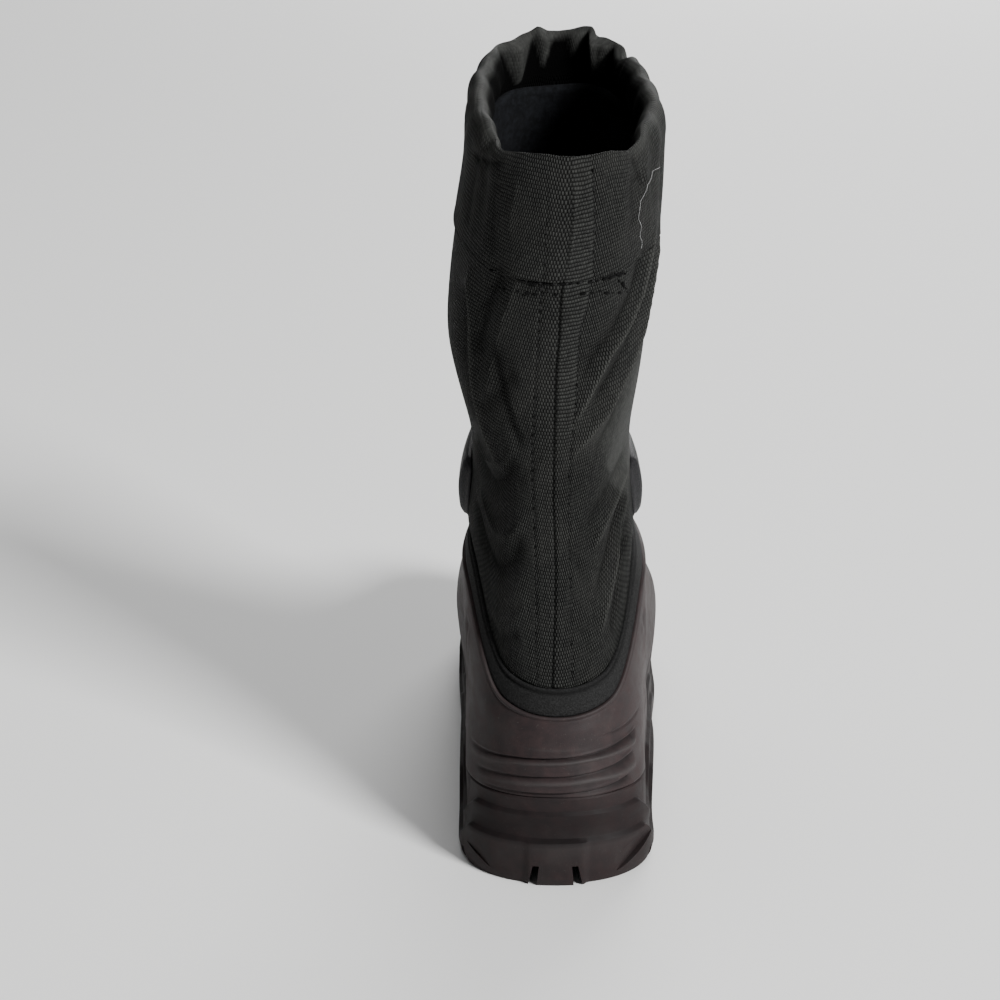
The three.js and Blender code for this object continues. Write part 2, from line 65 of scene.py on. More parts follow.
# name, backY, backZ, frontY, frontZ, outer widths, inner widths, heelRound, toeRound, sway, rise
legSections = [
    ("bindingTop", 0.0735, 0.0515, 1.118, 0.054, (0.42, 0.412, 0.4), (0.417, 0.445, 0.421),
     0.4, 0.46, 0, 0.97),
    ("ankleLow", 0.11, 0.18, 1.074, 0.146, (0.368, 0.394, 0.388), (0.395, 0.425, 0.412),
     0.42, 0.48, -0.006, 0.7),
    ("ankle", 0.14, 0.36, 1.044, 0.278, (0.358, 0.38, 0.36), (0.39, 0.408, 0.388),
     0.44, 0.48, -0.012, 0.33),
    ("shin", 0.11, 0.584, 1.015, 0.517, (0.42, 0.447, 0.426), (0.476, 0.514, 0.484),
     0.46, 0.48, -0.018, 0.07),
    ("seam", 0.059, 0.794, 1, 0.756, (0.465, 0.494, 0.47), (0.454, 0.472, 0.452),
     0.48, 0.48, -0.018, 0),
    ("cuff", 0.03, 0.9, 0.985, 0.885, (0.463, 0.485, 0.463), (0.446, 0.456, 0.44),
     0.48, 0.46, 0.006, 0),
    ("rim", 0.022, 1, 0.98, 1, (0.458, 0.482, 0.458), (0.446, 0.464, 0.466),
     0.48, 0.42, 0.018, 0),
]


def mix(a, b, share):
    return a + (b - a) * share


def ease(value):
    t = np.clip(value, 0, 1)
    return t * t * (3 - 2 * t)


def hill(gap, width):
    return np.exp(-((gap / width) ** 2))


def unit(vectors):
    return vectors / np.maximum(np.linalg.norm(vectors, axis=-1, keepdims=True), 1e-9)


# Length walked along a row of points, from the first to each of them
def walkedLength(points):
    return np.concatenate([[0], np.cumsum(np.linalg.norm(np.diff(points, axis=0), axis=1))])


def sectionRows():
    rows = []
    footWidths = np.array([foot["heel"], foot["waist"], foot["ball"]])
    for _, backY, backZ, frontY, frontZ, outer, inner, heelRound, toeRound, swing, dip, rise in footSections:
        rows.append([backY * foot["length"], mix(foot["seat"], foot["shellBack"], backZ),
                     frontY * foot["length"], mix(foot["toeSeat"], foot["shellFront"], frontZ),
                     *(footWidths * outer), *(footWidths * inner), heelRound, toeRound,
                     swing * foot["ball"], dip * foot["dip"], rise * foot["rise"], 0])
    for _, backY, backZ, frontY, frontZ, outer, inner, heelRound, toeRound, sway, rise in legSections:
        rows.append([backY * leg["depth"], mix(foot["shellBack"], leg["collarBack"], backZ),
                     frontY * leg["depth"], mix(foot["shellFront"], leg["collarFront"], frontZ),
                     *(leg["width"] * np.array(outer)), *(leg["width"] * np.array(inner)),
                     heelRound, toeRound, 0, 0, rise * foot["rise"], sway * leg["width"]])
    return np.array(rows, float)


rows = sectionRows()
steps = np.diff(rows, axis=0)
walked = (np.hypot(steps[:, 0], steps[:, 1]) + np.hypot(steps[:, 2], steps[:, 3])) / 2
places = np.concatenate([[0], np.cumsum(walked)])
placeOf = {section[0]: place for section, place in zip(footSections + legSections, places)}
lower = np.maximum(np.arange(len(rows)) - 1, 0)
upper = np.minimum(np.arange(len(rows)) + 1, len(rows) - 1)
slopes = (rows[upper] - rows[lower]) / (places[upper] - places[lower])[:, None]
shaftStart = placeOf["topline"] + walls["bindingHeight"] + walls["clearance"]


def rowAt(place):
    i = np.clip(np.searchsorted(places, place, side="left") - 1, 0, len(rows) - 2)
    span = (places[i + 1] - places[i])[:, None]
    u = ((place - places[i]) / span[:, 0])[:, None]
    return ((2 * u**3 - 3 * u**2 + 1) * rows[i] + (u**3 - 2 * u**2 + u) * span * slopes[i]
            + (3 * u**2 - 2 * u**3) * rows[i + 1] + (u**3 - u**2) * span * slopes[i + 1])


def form(place, angle):
    place, angle = np.broadcast_arrays(np.asarray(place, float), np.asarray(angle, float))
    shape = place.shape
    row = rowAt(place.ravel())
    flat = angle.ravel()
    share = (1 - np.cos(flat)) / 2
    outer = np.sin(flat) >= 0
    widths = np.where(outer[:, None], row[:, 4:7], row[:, 7:10])
    heelward = mix(widths[:, 0], widths[:, 1], ease((share - 0.12) / 0.3))
    toeward = mix(widths[:, 1], widths[:, 2], ease((share - 0.42) / 0.26))
    side = np.where(share < 0.42, heelward, toeward)
    heelCap = np.clip(1 - share / row[:, 10], 0, 1)
    toeCap = np.clip((share - 1 + row[:, 11]) / row[:, 11], 0, 1)
    cap = np.maximum(0, np.minimum(1 - heelCap**2.2, 1 - toeCap**2.2))
    width = side * cap ** (1 / 2.2)
    bend = np.clip((share - 0.45) / 0.55, 0, 1) ** 2
    climb = ease((share - 0.06) / 0.24) * (1 - ease((share - 0.3) / 0.7))
    x = np.where(outer, width, -width) + row[:, 12] * bend + row[:, 15]
    y = mix(row[:, 0], row[:, 2], share)
    z = mix(row[:, 1], row[:, 3], share) + row[:, 14] * climb - row[:, 13] * 4 * share * (1 - share)
    return np.stack([x, y, z], -1).reshape(*shape, 3)


def formNormal(place, angle):
    high, low = np.minimum(np.asarray(place) + 0.4, places[-1]), np.maximum(np.asarray(place) - 0.4, 0)
    up = form(high, angle) - form(low, angle)
    around = form(place, np.asarray(angle) + 0.02) - form(place, np.asarray(angle) - 0.02)
    return unit(np.cross(around, up))


def wall(place, angle, outward):
    return form(place, angle) + formNormal(place, angle) * np.asarray(outward)[..., None]


# Meshes


def addObject(name, data):
    item = bpy.data.objects.new(name, data)
    bpy.context.scene.collection.objects.link(item)
    return item


def evaluatedMesh(item):
    return bpy.data.meshes.new_from_object(item.evaluated_get(bpy.context.evaluated_depsgraph_get()))


def meshObject(name, points, faces, faceUv=None, values=None, material=None):
    mesh = bpy.data.meshes.new(name)
    points = (np.asarray(points, float).reshape(-1, 3) + partShift) / 1000
    faces = np.asarray(faces, int)
    corners = points[faces]
    volume = (corners[:, 0] * np.cross(corners[:, 1], corners[:, 2])).sum() + (
        corners[:, 0] * np.cross(corners[:, 2], corners[:, 3])).sum()
    if volume < 0:
        faces = faces[:, ::-1]
        faceUv = None if faceUv is None else faceUv[:, ::-1]
    mesh.vertices.add(len(points))
    mesh.vertices.foreach_set("co", points.ravel())
    mesh.loops.add(faces.size)
    mesh.loops.foreach_set("vertex_index", np.ascontiguousarray(faces).ravel())
    mesh.polygons.add(len(faces))
    mesh.polygons.foreach_set("loop_start", np.arange(0, faces.size, 4))
    mesh.update(calc_edges=True)
    if faceUv is not None:
        layer = mesh.uv_layers.new(name="UVMap")
        layer.uv.foreach_set("vector", np.ascontiguousarray(faceUv / 1000, dtype=np.float32).ravel())
    for key, data in (values or {}).items():
        attribute = mesh.attributes.new(key, "FLOAT", "POINT")
        attribute.data.foreach_set("value", np.ascontiguousarray(data, dtype=np.float32).ravel())
    if material:
        mesh.materials.append(material)
    mesh.validate()
    mesh.shade_smooth()
    return addObject(name, mesh)


def gridFaces(count, columns, closedRows):
    r, c = np.meshgrid(np.arange(count if closedRows else count - 1), np.arange(columns), indexing="ij")
    s, d = (r + 1) % count, (c + 1) % columns
    faces = np.stack([r * columns + c, r * columns + d, s * columns + d, s * columns + c], -1)
    return faces.reshape(-1, 4), r.ravel(), c.ravel()


# A wall that runs all the way round, whose last row joins its first
def ringWall(name, grid, around, along, values, material):
    count, columns = grid.shape[:2]
    faces, r, c = gridFaces(count, columns, True)
    here, there = around[c], around[(c + 1) % columns]
    there = np.where(there < here, there + around.max() - around.min() + 1, there)
    u = np.stack([here, there, there, here], -1)
    s = np.minimum(r + 1, count - 1)
    v = np.stack([along[r], along[r], along[s], along[s]], -1)
    return meshObject(name, grid, faces, np.stack([u, v], -1), values, material)


def columnAngles(columns, gather):
    t = np.arange(columns) / columns * 2 * math.pi
    return t - gather * np.sin(t)


# The columns of a profile's table, each spread round the ring
def spread(profile, angles):
    return [np.array(column, float)[:, None] + 0 * angles for column in zip(*profile)]


# Degrees from the back seam, positive on the outer side
def signedDegrees(angles):
    degrees = np.degrees(angles)
    return np.where(degrees > 180, degrees - 360, degrees)


# Distance from a path over the cloth, whose points are (degrees from the back seam, place)
def fromPath(degrees, place, path, perDegree=0.97):
    best = np.full(place.shape, 1e9)
    share = np.zeros(place.shape)
    sideways = np.zeros(place.shape)
    points = np.array(path, float) * (perDegree, 1)
    lengths = np.linalg.norm(np.diff(points, axis=0), axis=1)
    total, done = lengths.sum(), 0
    x, y = degrees * perDegree, place
    for (ax, ay), (bx, by), length in zip(points[:-1], points[1:], lengths):
        dx, dy = (bx - ax) / length, (by - ay) / length
        t = np.clip((x - ax) * dx + (y - ay) * dy, 0, length)
        gap = np.hypot(x - ax - t * dx, y - ay - t * dy)
        nearer = gap < best
        best = np.where(nearer, gap, best)
        share = np.where(nearer, (done + t) / total, share)
        sideways = np.where(nearer, (x - ax) * dy - (y - ay) * dx, sideways)
        done += length
    return best, share, sideways


def fold(degrees, place, path, width, height, fade=0.18):
    gap, share, _ = fromPath(degrees, place, path)
    ends = ease(share / fade) * ease((1 - share) / fade)
    sharpness = 1.1 if height > 0 else 2.0
    return height * ends * np.exp(-((gap / width) ** sharpness))


def lumps(x, y, size, seed):
    rng = np.random.default_rng(seed)
    total = np.zeros(np.broadcast(x, y).shape)
    for _ in range(7):
        direction = rng.normal(size=3)
        direction *= rng.uniform(0.7, 1.5) / size / np.linalg.norm(direction)
        total += np.sin(x * direction[0] + y * direction[1] + rng.uniform(0, 6.28))
    return total / 7


# Shader groups and materials


def newGroup(name, inputs, outputs):
    tree = bpy.data.node_groups.new(name, "ShaderNodeTree")
    tree.interface.new_socket(name="Position", in_out="INPUT", socket_type="NodeSocketVector")
    for label, value in inputs.items():
        socket = tree.interface.new_socket(name=label, in_out="INPUT", socket_type="NodeSocketFloat")
        socket.default_value = value
    for label in outputs:
        tree.interface.new_socket(name=label, in_out="OUTPUT", socket_type="NodeSocketFloat")
    start, end = tree.nodes.new("NodeGroupInput"), tree.nodes.new("NodeGroupOutput")
    return Wiring(tree), start.outputs, end.inputs


class Wiring:
    def __init__(self, tree):
        self.tree = tree

    def put(self, socket, value):
        if hasattr(value, "is_output"):
            self.tree.links.new(value, socket)
        else:
            socket.default_value = value

    def node(self, kind, sockets, **settings):
        node = self.tree.nodes.new(kind)
        for name, setting in settings.items():
            setattr(node, name, setting)
        for key, value in sockets.items():
            self.put(node.inputs[key], value)
        return node.outputs

    def math(self, operation, *values):
        return self.node("ShaderNodeMath", dict(enumerate(values)), operation=operation)[0]

    def times(self, a, b):
        return self.math("MULTIPLY", a, b)

    def plus(self, a, b):
        return self.math("ADD", a, b)

    def noise(self, vector, scale, detail=2.0, rough=0.5):
        sockets = {"Vector": vector, "Scale": scale, "Detail": detail, "Roughness": rough}
        return self.node("ShaderNodeTexNoise", sockets)[0]

    def ramp(self, value, low, high, toLow=0.0, toHigh=1.0):
        sockets = dict(enumerate((value, low, high, toLow, toHigh)))
        return self.node("ShaderNodeMapRange", sockets, interpolation_type="SMOOTHSTEP")[0]

    def blend(self, factor, a, b):
        return self.node("ShaderNodeMix", {0: factor, 6: a, 7: b}, data_type="RGBA")[2]

    def bump(self, height, distance, strength=1.0, **below):
        sockets = {"Height": height, "Distance": distance, "Strength": strength, **below}
        return self.node("ShaderNodeBump", sockets)[0]

    def attribute(self, name):
        return self.node("ShaderNodeAttribute", {}, attribute_name=name)["Fac"]

    def group(self, tree, **sockets):
        return self.node("ShaderNodeGroup", sockets, node_tree=tree)


# Threads over and under each other: their height, and a tone that differs from thread to thread
def clothWeave():
    sizes = {"Across": 1.0, "Along": 1.4, "Ridge": 0.0, "Faded": 0.0}
    w, given, result = newGroup("clothWeave", sizes, ["Height", "Tone"])
    position, ridge = given["Position"], given["Ridge"]
    parts = w.node("ShaderNodeSeparateXYZ", {0: position})
    wobble = w.times(w.math("SUBTRACT", w.noise(position, 120.0, 1.0), 0.5), 0.0012)
    across = w.math("DIVIDE", w.times(parts[0], 1000.0), given["Across"])
    leaned = w.plus(parts[1], w.times(w.math("ABSOLUTE", parts[0]), -0.1))
    along = w.math("DIVIDE", w.times(w.plus(leaned, wobble), 1000.0), given["Along"])
    row = w.math("ABSOLUTE", w.math("SINE", w.times(along, math.pi)))
    parity = w.math("MODULO", w.math("FLOOR", along), 2.0)
    shifted = w.plus(across, w.times(parity, 0.5))
    column = w.math("ABSOLUTE", w.math("SINE", w.times(shifted, math.pi)))
    mesh = w.times(w.math("POWER", row, 0.5), w.math("POWER", column, 0.9))
    ribbed = w.times(w.math("POWER", row, 0.8), w.plus(0.7, w.times(column, 0.3)))
    height = w.plus(w.times(mesh, w.math("SUBTRACT", 1.0, ridge)), w.times(ribbed, ridge))
    cell = w.node("ShaderNodeCombineXYZ", {0: w.math("FLOOR", shifted), 1: w.math("FLOOR", along)})
    random = w.node("ShaderNodeTexWhiteNoise", {"Vector": cell[0]}, noise_dimensions="2D")
    patches = w.ramp(w.noise(position, 26.0, 2.0), 0.4, 0.7, 0.0, 0.22)
    worn = w.math("MINIMUM", w.plus(given["Faded"], patches), 0.9)
    kept = w.plus(w.times(height, w.math("SUBTRACT", 1.0, worn)), w.times(worn, 0.62))
    w.put(result["Height"], kept)
    w.put(result["Tone"], random["Value"])
    return w.tree


# Uneven dust: soft clouds and small specks, each from 0 to 1
def dustCloud():
    w, given, result = newGroup("dustCloud", {"Size": 30.0}, ["Cloud", "Specks"])
    position = given["Position"]
    w.put(result["Cloud"], w.ramp(w.noise(position, given["Size"], 5.0, 0.6), 0.42, 0.72))
    w.put(result["Specks"], w.ramp(w.noise(position, 900.0, 2.0, 0.6), 0.66, 0.74))
    return w.tree


weaveGroup, dustGroup = clothWeave(), dustCloud()


def surface(name, roughness, specular=0.5):
    material = bpy.data.materials.new(name)
    material.use_nodes = True
    shader = material.node_tree.nodes["Principled BSDF"]
    shader.inputs["Roughness"].default_value = roughness
    shader.inputs["Specular IOR Level"].default_value = specular
    coordinates = material.node_tree.nodes.new("ShaderNodeTexCoord")
    return material, Wiring(material.node_tree), shader, coordinates


def gray(value, red=1.0, green=1.0, blue=1.0):
    return (value * red, value * green, value * blue, 1.0)


# Weave sizes in millimetres, gloss, and each tint's strength and depth against the nylon's own tone
# Of these tints, the gap is painted shade between the threads, the one for fold crests a painted highlight,
# and the one for creases painted shade; thread and dust are the cloth's own tones
cloth = {"across": 1.3, "along": 1.6, "roughness": 0.7, "specular": 0.06, "relief": 0.0011, "dustSize": 45.0,
         "thread": (0.6, 1.15, 2.15), "gap": (0.97, 0.2), "dust": (0.22, 2.4), "crestHighlight": (0.8, 3.2),
         "paintedShade": (0.95, 0.03)}


def nylon(name, tone):
    material, w, shader, coordinates = surface(name, cloth["roughness"], cloth["specular"])
    weave = w.group(weaveGroup, Position=coordinates.outputs["UV"], Across=cloth["across"],
                    Along=cloth["along"], Ridge=w.attribute("strip"), Faded=w.attribute("faded"))
    dust = w.group(dustGroup, Position=coordinates.outputs["Object"], Size=cloth["dustSize"])
    height, paintedShade = weave["Height"], w.attribute("paintedShade")
    share, dark, pale = cloth["thread"]
    color = w.blend(w.times(weave["Tone"], share), gray(tone * dark, 1, 1.02, 0.98),
                    gray(tone * pale, 1, 1.03, 0.96))
    # Painted shade between the threads: the colour darkens where the weave is low
    share, deep = cloth["gap"]
    color = w.blend(w.ramp(height, 0.0, 0.68, share, 0.0), color, gray(tone * deep))
    # Real dust first, then a painted highlight on the fold crests, then painted shade in fold troughs, seams
    # and inside the collar
    for mask, tint, hue in [(dust["Cloud"], "dust", (1.02, 1, 0.93)),
                            (w.attribute("crestHighlight"), "crestHighlight", (1, 1.02, 0.95)),
                            (paintedShade, "paintedShade", (1, 1, 1))]:
        share, deep = cloth[tint]
        color = w.blend(w.times(mask, share), color, gray(tone * deep, *hue))
    w.put(shader.inputs["Base Color"], color)
    w.put(shader.inputs["Roughness"], w.ramp(paintedShade, 0.0, 1.0, cloth["roughness"], 1.0))
    w.put(shader.inputs["Normal"], w.bump(height, cloth["relief"], 1.0))
    return material


def rubber(name, tone, roughness, dustiness):
    material, w, shader, coordinates = surface(name, roughness, 0.1)
    position = coordinates.outputs["Object"]
    dust = w.group(dustGroup, Position=position, Size=38.0)
    mottle = w.noise(position, 160.0, 4.0, 0.6)
    color = w.blend(w.ramp(mottle, 0.35, 0.7), gray(tone, 1.2, 0.94, 0.97), gray(tone * 1.3, 1.32, 0.9, 0.91))
    patch = w.ramp(w.noise(position, 30.0, 4.0), 0.38, 0.72, 0.0, 0.3)
    # mask, strength, tint against the rubber's own tone
    for mask, share, tint in [(patch, 1.0, gray(tone * 1.4, 1.4, 0.88, 0.88)),
                              (dust["Cloud"], dustiness, gray(tone * 3.2, 1.05, 0.99, 0.95)),
                              (dust["Specks"], 0.35, gray(tone * 3.8, 1.05, 0.98, 0.9)),
                              # Painted highlight beside the ribs and grooves, together with a scuff and a
                              # lighter top edge
                              (w.attribute("wearAndHighlight"), 0.55, gray(tone * 3.0, 1.04, 1, 0.98)),
                              # Painted shade in the rib laps, the side grooves and on the sole's steps
                              (w.attribute("paintedShade"), 0.7, gray(tone * 0.3, 1.1, 0.95, 1))]:
        color = w.blend(w.times(mask, share), color, tint)
    w.put(shader.inputs["Base Color"], color)
    w.put(shader.inputs["Roughness"], w.ramp(mottle, 0.3, 0.75, roughness - 0.03, roughness + 0.08))
    grain = w.bump(w.noise(position, 2600.0, 2.0, 0.6), 0.00012, 0.6)
    w.put(shader.inputs["Normal"], w.bump(mottle, 0.0003, 0.2, Normal=grain))
    return material


def plainCloth(name, tone, scale, roughness=0.85, blue=1.0, red=1.0):
    material, w, shader, coordinates = surface(name, roughness, 0.15)
    grain = w.noise(coordinates.outputs["Object"], scale, 3.0, 0.65)
    color = w.blend(w.ramp(grain, 0.35, 0.7), gray(tone * 0.55, red, 1, blue), gray(tone * 1.5, red, 1, blue))
    # Painted shade where the piece's shade mask is set: the binding's groove and lower edge
    w.put(shader.inputs["Base Color"], w.blend(w.attribute("paintedShade"), color, gray(tone * 0.1)))
    w.put(shader.inputs["Normal"], w.bump(grain, 0.0004, 0.8))
    return material


materials = {
    "nylon": nylon("shaftNylon", 0.0194),
    "shell": rubber("shellRubber", 0.0182, 0.54, 0.25),
    "sole": rubber("outsoleRubber", 0.0122, 0.58, 0.25),
    "binding": plainCloth("bindingTape", 0.0122, 1500.0),
    "strap": plainCloth("strapSynthetic", 0.0115, 1400.0, 0.5, 1.08, 1.02),
    "felt": plainCloth("insoleFelt", 0.04, 1200.0, 0.95),
    "fleece": plainCloth("liningFleece", 0.0046, 420.0, 0.95, 1.25, 0.9),
    "thread": plainCloth("sewingThread", 0.012, 3000.0, 0.7),
    # Near-black beads: painted shade in needle holes and under the cuff's edge
    "holes": plainCloth("needleHoles", 0.0012, 800.0, 0.95),
    "lint": plainCloth("whiteLint", 0.3, 2000.0, 0.8),
}
print("materials", len(materials))

# Shaft: folds, seams and gathers placed as (degrees from the back seam, place on the form)

shaft = {
    "columns": 330, "gather": 0.62, "rowStep": 1.05, "perDegree": 0.97,
    "seamPath": [(1.5, 326), (2.6, 306), (3, 290), (2.5, 280), (1.5, 272), (1, 255), (0, 241), (-0.5, 212),
                 (-1, 186), (0, 160), (-0.5, 143), (-2, 119)],
    "leftRow": [(-9, 320), (-7.5, 302), (-6, 284), (-7, 269), (-8.5, 241), (-9.5, 225), (-11.5, 205),
                (-12.5, 189), (-11, 165), (-10.5, 146), (-11, 121)],
    "rightRow": [(11.5, 322), (14, 300), (16.5, 280), (14.5, 268), (11, 256), (10.5, 242), (10, 226),
                 (8, 210), (7.5, 191), (8, 174), (9, 149), (8, 121)],
    "seamDepth": 0.6, "rowDepth": 0.2, "puff": 0.4, "stripEnd": 196.0, "paleFrom": 2.0,
    "slack": 0.2, "hem": -4.4,
    "smoothSide": [(73, 300), (67, 262), (62, 242), (51.5, 235), (41.5, 228), (30.5, 219), (20.5, 214),
                   (11.5, 206)],
}
# path, width, height
creases = [
    ([(2.9, 325), (3.9, 306), (4.3, 291), (3.8, 281)], 0.5, 0.55),
    ([(-64, 312), (-54, 316.5), (-44, 320.5), (-34, 323)], 1.9, -2.0),
    ([(-66, 316), (-52, 321.5), (-40, 325)], 2.2, 1.9),
    ([(36, 326), (40, 318), (46, 310)], 2.0, -1.4),
    ([(44, 320), (51, 307), (55, 292), (57, 281)], 2.2, 1.0),
    ([(34, 320), (38, 305), (40, 292)], 4.0, -0.7),
    ([(-36, 321), (-40, 308), (-38, 292), (-34, 281)], 3.5, -0.9),
    ([(-24, 319), (-27, 306), (-27, 292)], 3.0, 0.7),
    ([(-58, 318), (-62, 300), (-60, 284)], 4.0, -1.0),
    ([(70, 316), (74, 300), (72, 286)], 4.0, -1.0),
    ([(66, 291), (60, 276), (54, 261), (44, 252), (30, 244), (20.5, 233), (12, 222), (5, 212)], 3.4, 2.6),
    ([(73, 290), (67, 262), (62, 242), (51.5, 235), (41.5, 228), (30.5, 219), (20.5, 214), (11.5, 206),
      (5, 198)], 4.4, 3.1),
    ([(66, 276), (60, 259), (50, 245), (38, 237), (26, 228), (17, 219)], 3.0, -1.2),
    ([(84, 262), (72, 240), (58, 226), (44, 218), (31, 209), (20, 200)], 5.5, -1.5),
    ([(56, 284), (46, 264), (34, 254), (20, 244), (12, 234)], 4.5, -1.4),
    ([(68, 169), (53, 170.5), (40, 171), (30, 167), (24, 162)], 3.0, 2.2),
    ([(67, 156), (57, 157), (49, 151), (41, 145), (32, 139), (27, 131)], 3.0, 2.2),
    ([(66, 163), (55, 164), (44, 160), (34, 153), (26, 146)], 3.2, -1.4),
    ([(62, 180), (46, 182), (30, 178), (18, 171)], 4.5, -1.0),
    ([(64, 146), (52, 143), (42, 135), (34, 128)], 3.5, -1.1),
    ([(62, 136), (52, 143), (50, 150), (57, 158)], 1.8, -1.5),
    ([(-16, 286), (-26, 262), (-34, 238), (-40, 214)], 3.0, 0.9),
    ([(-26, 284), (-38, 262), (-46, 236)], 4.5, -1.4),
    ([(-54, 276), (-50, 246), (-46, 217), (-40, 201), (-33, 190)], 4.0, 2.2),
    ([(-58, 266), (-57, 232), (-53, 200)], 6.5, -1.6),
    ([(-34, 250), (-28, 234), (-22, 219), (-17, 203)], 3.4, -1.0),
    ([(-28, 240), (-22, 226), (-17, 212)], 2.2, 0.7),
    ([(-20, 206), (-32, 196), (-46, 190), (-62, 190)], 2.0, 1.2),
    ([(-20, 202), (-30, 190), (-42, 182), (-56, 178), (-74, 176)], 5.4, -1.6),
    ([(-16, 178), (-28, 168), (-44, 163), (-62, 163)], 2.2, 1.3),
    ([(-17, 171), (-27, 159), (-39, 151), (-52, 148), (-70, 148)], 5.2, -1.5),
    ([(-14, 148), (-26, 138), (-40, 132)], 2.4, 1.0),
    ([(-20, 136), (-34, 128), (-48, 124)], 3.5, -1.0),
    ([(-18, 240), (-30, 226), (-44, 214)], 4.0, -0.9),
    ([(-6, 205), (-14, 196), (-24, 188)], 2.6, -0.5),
    ([(5, 170), (14, 161), (24, 150)], 2.6, -0.6),
    ([(6, 146), (14, 138), (22, 127)], 3.0, -0.5),
    ([(100, 180), (120, 176), (140, 178)], 5.0, -1.6),
    ([(98, 192), (118, 188), (146, 190)], 3.0, 1.2),
    ([(96, 204), (120, 198), (150, 202), (170, 200)], 6.0, -1.3),
    ([(-100, 184), (-122, 180), (-146, 182)], 5.0, -1.6),
    ([(-98, 198), (-124, 193), (-150, 196)], 3.0, 1.2),
    ([(-98, 214), (-126, 206), (-154, 210)], 6.0, -1.3),
]
# Gathers of the rim: degrees, width in degrees, depth inwards, lift
gathers = [
    (-50, 5, 2.2, -0.8), (-30, 9, 0.6, 0.0), (-14, 9, 0.7, 0.3), (4, 8, 0.8, -0.3), (22, 8, 0.9, 0.3),
    (40, 7, 1.2, -0.5), (56, 6, 1.5, 0.4), (72, 7, 1.5, -0.6), (90, 7, 1.7, 0.6), (106, 6, 2.0, -0.9),
    (119, 6, 2.4, 0.5), (133, 5, 3.4, -1.0), (146, 5, 1.4, 0.3), (159, 3, 2.4, -0.6), (-62, 8, 1.5, 0.5),
    (-80, 8, 1.6, -0.6), (-98, 8, 1.7, 0.5), (-116, 7, 1.8, -0.6), (-134, 7, 1.7, 0.5), (-152, 6, 1.8, -0.4),
]
# Height of the rim against its section: degrees, lift
rimLift = [(-180, 0.8), (-175, 0.9), (-170, 3.2), (-165, 1.2), (-156, 0.2), (-140, -0.6), (-120, -0.2),
           (-62, 0.3), (-50, -1.8), (-38, -3.0), (-24, -0.8), (-10, 0.0), (12, 0.0), (24, -0.6), (36, -2.4),
           (48, -1.6), (60, 0.0), (110, 0.4), (126, -0.4), (134, -2.6), (139, -0.6), (150, -0.2), (158, 0.6),
           (161, 3.8), (168, 3.2), (174, 1.6), (180, 0.8)]


def turnedBetween(degrees, centre):
    return (degrees - centre + 180) % 360 - 180


def rimShape(degrees):
    depth, lift = np.zeros(degrees.shape), np.interp(degrees, *np.array(rimLift).T)
    for centre, width, inward, up in gathers:
        gathered = hill(turnedBetween(degrees, centre), width)
        depth += inward * gathered
        lift += up * gathered
    return depth, lift


# The folds' relief; painted shade in their troughs, along the seam and along the stitch rows; and a painted
# highlight on their crests
def shaftRelief(degrees, place):
    relief, dark, pale = np.zeros(place.shape), np.zeros(place.shape), np.zeros(place.shape)
    for path, width, height in creases:
        relief += fold(degrees, place, path, width, height)
        if height < 0:
            # Painted shade in the troughs of the folds
            dark += fold(degrees, place, path, width * 0.55, -height * 0.35)
        elif height > shaft["paleFrom"]:
            # Painted highlight along the crests of the highest folds
            pale += fold(degrees, place, path, 0.75, 1.0)
    gap, _, _ = fromPath(degrees, place, shaft["seamPath"])
    opened = np.where(place > placeOf["seam"], 0.35, 1.0)
    relief -= shaft["seamDepth"] * opened * hill(gap, 0.55)
    # Painted shade along the seam groove
    dark += opened * 0.9 * hill(gap, 0.38)
    for row in (shaft["leftRow"], shaft["rightRow"]):
        rowGap, _, _ = fromPath(degrees, place, row)
        relief -= shaft["rowDepth"] * hill(rowGap, 1.0)
        # Painted shade along the stitch rows
        dark += 0.15 * hill(rowGap, 0.5)
        puff = np.minimum(gap, rowGap)
        relief += shaft["puff"] * 0.5 * np.clip(1 - ((gap + rowGap - 9) / 6) ** 2, 0, 1) * ease(puff / 3)
    x = degrees * shaft["perDegree"]
    relief += 0.55 * lumps(x, place, 9, 3) + 0.35 * lumps(x * 0.6, place, 4.5, 8)
    return relief, np.clip(dark, 0, 1), np.clip(pale, 0, 1)


# Gathered cloth inside the front of the collar: degrees, half width, depth, drop
flaps = [(-154, 10, 5.0, 19), (-172, 5, 3.6, 15), (171, 6, 3.0, 12), (155, 8, 5.0, 18), (140, 4.5, 3.2, 9)]


# Where the roll is thinner: start and reach in degrees from the back seam, and by how much
thinner = {"front": (122, 26, 7.0), "back": (30, 40, 4.5), "corners": (44, 13, 2.0)}


def rollThickness(degrees):
    turned = np.abs(degrees)
    front, back, corners = thinner["front"], thinner["back"], thinner["corners"]
    return (walls["roll"] - front[2] * ease((turned - front[0]) / front[1])
            - back[2] * (1 - ease((turned - back[0]) / back[1]))
            - corners[2] * hill(turned - corners[0], corners[1]))


def flapDepth(degrees, drop):
    inward = np.zeros(degrees.shape)
    for centre, width, depth, length in flaps:
        fallen = np.clip(drop / length, 0, 1)
        bell = np.exp(-((turnedBetween(degrees, centre) / (width * (1.05 - 0.8 * fallen))) ** 4))
        inward += depth * bell * (1 - fallen) ** 0.6 * ease(drop / 3)
    return inward


def cuffGather(place):
    return ease((place - placeOf["seam"]) / walls["rollRise"] / 3)


def cuffLift(place):
    return ease((place - placeOf["seam"]) / (placeOf["rim"] - placeOf["seam"]))


